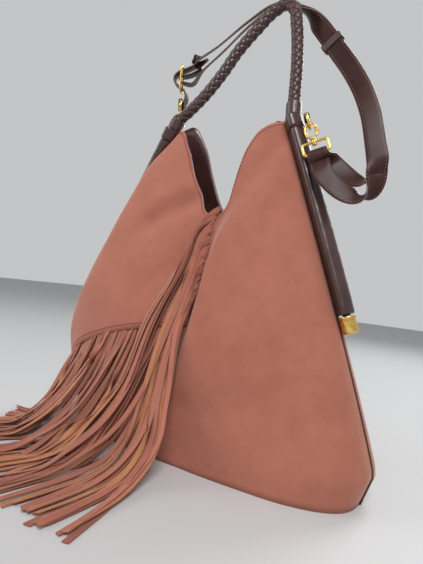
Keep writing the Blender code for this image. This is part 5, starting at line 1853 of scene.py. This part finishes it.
def look_from_photo():
    """The camera: a little above the bag's middle, in front and to the right, slightly rolled."""
    turn, tilt, roll = (math.radians(angle) for angle in (CAMERA_TURN, CAMERA_TILT, CAMERA_ROLL))
    forward = Vector((-math.sin(turn), math.cos(turn), 0))
    right = Vector((math.cos(turn), math.sin(turn), 0))
    down = Vector((0, 0, -1))
    view = forward * math.cos(tilt) - down * math.sin(tilt)
    below = forward * math.sin(tilt) + down * math.cos(tilt)
    picture_right = right * math.cos(roll) - below * math.sin(roll)
    picture_down = right * math.sin(roll) + below * math.cos(roll)
    turned = Matrix((picture_right, -picture_down, -view)).transposed().to_4x4()
    turned.translation = Vector(CAMERA_PLACE)
    return turned


def area_light(name, place, size, power):
    """A round lamp that looks at the bag's middle."""
    light = bpy.data.lights.new(name, "AREA")
    light.shape = "DISK"
    light.size = size
    light.energy = power
    lamp = bpy.data.objects.new(name, light)
    bpy.context.scene.collection.objects.link(lamp)
    lamp.location = place
    lamp.rotation_euler = (Vector(LAMP_TARGET) - Vector(place)).to_track_quat("-Z", "Y").to_euler()


def build_floor():
    floor_look = Look("pale_floor")
    floor_look.set(Base_Color=FLOOR_COLOUR, Roughness=0.6)
    bm = bmesh.new()
    bmesh.ops.create_grid(bm, x_segments=1, y_segments=1, size=FLOOR_HALF_SIZE)
    mesh = bpy.data.meshes.new("floor")
    bm.to_mesh(mesh)
    bm.free()
    mesh.materials.append(floor_look.material)
    floor = bpy.data.objects.new("floor", mesh)
    bpy.context.scene.collection.objects.link(floor)


def build_world(settings):
    """An even studio that the camera, metal and glass see brighter than it lights the bag."""
    world = bpy.data.worlds.new("studio")
    world.use_nodes = True
    tree = world.node_tree
    background = tree.nodes["Background"]
    background.inputs["Color"].default_value = STUDIO_COLOUR
    rays = tree.nodes.new("ShaderNodeLightPath")
    seen = rays.outputs["Is Camera Ray"]
    for other in ("Is Glossy Ray", "Is Transmission Ray"):
        either = tree.nodes.new("ShaderNodeMath")
        either.operation = "MAXIMUM"
        tree.links.new(seen, either.inputs[0])
        tree.links.new(rays.outputs[other], either.inputs[1])
        seen = either.outputs["Value"]
    level = tree.nodes.new("ShaderNodeMapRange")
    level.inputs["To Min"].default_value = settings.surround
    level.inputs["To Max"].default_value = settings.backdrop
    tree.links.new(seen, level.inputs["Value"])
    tree.links.new(level.outputs["Result"], background.inputs["Strength"])
    bpy.context.scene.world = world


def build_stage():
    scene = bpy.context.scene
    settings = scene.bag_stage
    build_floor()
    build_world(settings)
    for name, place, size, share in LAMPS:
        area_light(name, place, size, settings.key_power * share)
    lens = bpy.data.cameras.new("camera")
    lens.sensor_fit = "VERTICAL"
    lens.sensor_height = SENSOR_HEIGHT
    lens.lens = FOCAL_SHARE * SENSOR_HEIGHT
    camera = bpy.data.objects.new("camera", lens)
    scene.collection.objects.link(camera)
    camera.matrix_world = look_from_photo()
    scene.camera = camera
    scene.view_settings.view_transform = "Standard"


# The add-on


def colour_property(name, description, default):
    return bpy.props.FloatVectorProperty(
        name=name, description=description, default=default, subtype="COLOR", size=3, min=0.0, max=1.0
    )


def length_property(name, description, default):
    return bpy.props.FloatProperty(
        name=name, description=description, default=default, unit="LENGTH", subtype="DISTANCE"
    )


def brightness_property(name, description, default):
    return bpy.props.FloatProperty(name=name, description=description, default=default, min=0.0)


class BagColours(bpy.types.PropertyGroup):
    """The colours of the bag's finishes."""

    suede: colour_property("Suede", "Colour of the suede body", (0.392, 0.144, 0.099))
    suede_reverse: colour_property("Suede reverse", "The flesh side of the strips", (0.46, 0.195, 0.095))
    leather: colour_property("Leather", "Colour of the dark leather", (0.052, 0.019, 0.016))
    gold: colour_property("Metal", "Colour of the plated metal", (0.83, 0.56, 0.16))
    seam_thread: colour_property("Seam thread", "Stitches on the suede", (0.10, 0.018, 0.014))
    strap_thread: colour_property("Strap thread", "Stitches on the strap", (0.34, 0.21, 0.17))
    edge_paint: colour_property("Strap edge", "Painted edge of the strap", (0.36, 0.24, 0.21))


class BagFringe(bpy.types.PropertyGroup):
    """How the fringe is cut and how it falls."""

    left_strips: bpy.props.IntProperty(
        name="Left strips", description="Strips under the arched seam", default=50, min=10
    )
    centre_strips: bpy.props.IntProperty(
        name="Centre strips", description="Strips hanging from where the halves meet", default=32, min=4
    )
    strip_width: length_property("Strip width", "Width of one strip", 5.8 * mm)
    turned_share: bpy.props.FloatProperty(
        name="Turned share", description="Share of strips that turn over", default=0.16, min=0.0, max=1.0,
        subtype="FACTOR",
    )
    seed: bpy.props.IntProperty(name="Seed", description="Chooses how the strips fall", default=7, min=0)


class BagStitches(bpy.types.PropertyGroup):
    """The stitches' sizes."""

    pitch: length_property("Pitch", "From one stitch to the next", 3.9 * mm)
    length: length_property("Length", "Length of one stitch", 2.7 * mm)
    thickness: length_property("Thickness", "Thickness of the thread", 1.25 * mm)


class BagStage(bpy.types.PropertyGroup):
    """Light on the stage."""

    key_power: bpy.props.FloatProperty(
        name="Key light", description="Power of the main light", default=36.0, min=0.0,
        subtype="POWER", unit="POWER",
    )
    surround: brightness_property("Surround", "Brightness of the surroundings", 0.36)
    backdrop: brightness_property("Backdrop", "Brightness of the background as seen", 0.64)


class BAG_OT_panels(bpy.types.Operator):
    """Builds the suede front, yoke and back"""

    bl_idname = "bag.panels"
    bl_label = "Suede panels"

    def execute(self, context):
        build_panels()
        return {"FINISHED"}


class BAG_OT_lining(bpy.types.Operator):
    """Builds the leather facing of the mouth and the base"""

    bl_idname = "bag.lining"
    bl_label = "Facing and base"

    def execute(self, context):
        build_lining()
        return {"FINISHED"}


class BAG_OT_fringe(bpy.types.Operator):
    """Builds the two bunches of suede strips"""

    bl_idname = "bag.fringe"
    bl_label = "Fringe"

    def execute(self, context):
        build_fringe()
        return {"FINISHED"}


class BAG_OT_plait(bpy.types.Operator):
    """Builds the plaited handle"""

    bl_idname = "bag.plait"
    bl_label = "Plaited handle"

    def execute(self, context):
        build_plait()
        return {"FINISHED"}


class BAG_OT_handle_ends(bpy.types.Operator):
    """Builds the leather sleeves, collars and wraps and the metal end caps"""

    bl_idname = "bag.handle_ends"
    bl_label = "Sleeves and caps"

    def execute(self, context):
        build_handle_ends()
        return {"FINISHED"}


class BAG_OT_fittings(bpy.types.Operator):
    """Builds the rings, snap hooks, tabs and the slider"""

    bl_idname = "bag.fittings"
    bl_label = "Metal fittings"

    def execute(self, context):
        build_fittings()
        return {"FINISHED"}


class BAG_OT_strap(bpy.types.Operator):
    """Builds the shoulder strap and its keeper"""

    bl_idname = "bag.strap"
    bl_label = "Shoulder strap"

    def execute(self, context):
        build_strap()
        build_keeper()
        return {"FINISHED"}


class BAG_OT_stitching(bpy.types.Operator):
    """Adds the rows of stitches"""

    bl_idname = "bag.stitching"
    bl_label = "Stitching"

    def execute(self, context):
        build_stitching()
        return {"FINISHED"}


class BAG_OT_stage(bpy.types.Operator):
    """Sets the floor, light and camera"""

    bl_idname = "bag.stage"
    bl_label = "Stage"

    def execute(self, context):
        build_stage()
        return {"FINISHED"}


STEPS = ("panels", "lining", "fringe", "plait", "handle_ends", "fittings", "strap", "stitching", "stage")


class BAG_PT_sidebar(bpy.types.Panel):
    """The bag's settings and building steps"""

    bl_label = "Fringed bag"
    bl_idname = "BAG_PT_sidebar"
    bl_space_type = "VIEW_3D"
    bl_region_type = "UI"
    bl_category = "Bag"

    def draw(self, context):
        layout = self.layout
        for name in GROUPS:
            group = getattr(context.scene, name)
            box = layout.box()
            for key in group.bl_rna.properties.keys():
                if key not in ("rna_type", "name"):
                    box.prop(group, key)
        for step in STEPS:
            layout.operator("bag." + step)


CLASSES = (
    BagColours,
    BagFringe,
    BagStitches,
    BagStage,
    BAG_OT_panels,
    BAG_OT_lining,
    BAG_OT_fringe,
    BAG_OT_plait,
    BAG_OT_handle_ends,
    BAG_OT_fittings,
    BAG_OT_strap,
    BAG_OT_stitching,
    BAG_OT_stage,
    BAG_PT_sidebar,
)
GROUPS = {
    "bag_colours": BagColours,
    "bag_fringe": BagFringe,
    "bag_stitches": BagStitches,
    "bag_stage": BagStage,
}


def register():
    for kind in CLASSES:
        bpy.utils.register_class(kind)
    for name, group in GROUPS.items():
        setattr(bpy.types.Scene, name, bpy.props.PointerProperty(type=group))


def unregister():
    for name in GROUPS:
        delattr(bpy.types.Scene, name)
    for kind in reversed(CLASSES):
        bpy.utils.unregister_class(kind)


def main():
    register()
    for step in STEPS:
        getattr(bpy.ops.bag, step)()


if __name__ == "__main__":
    main()
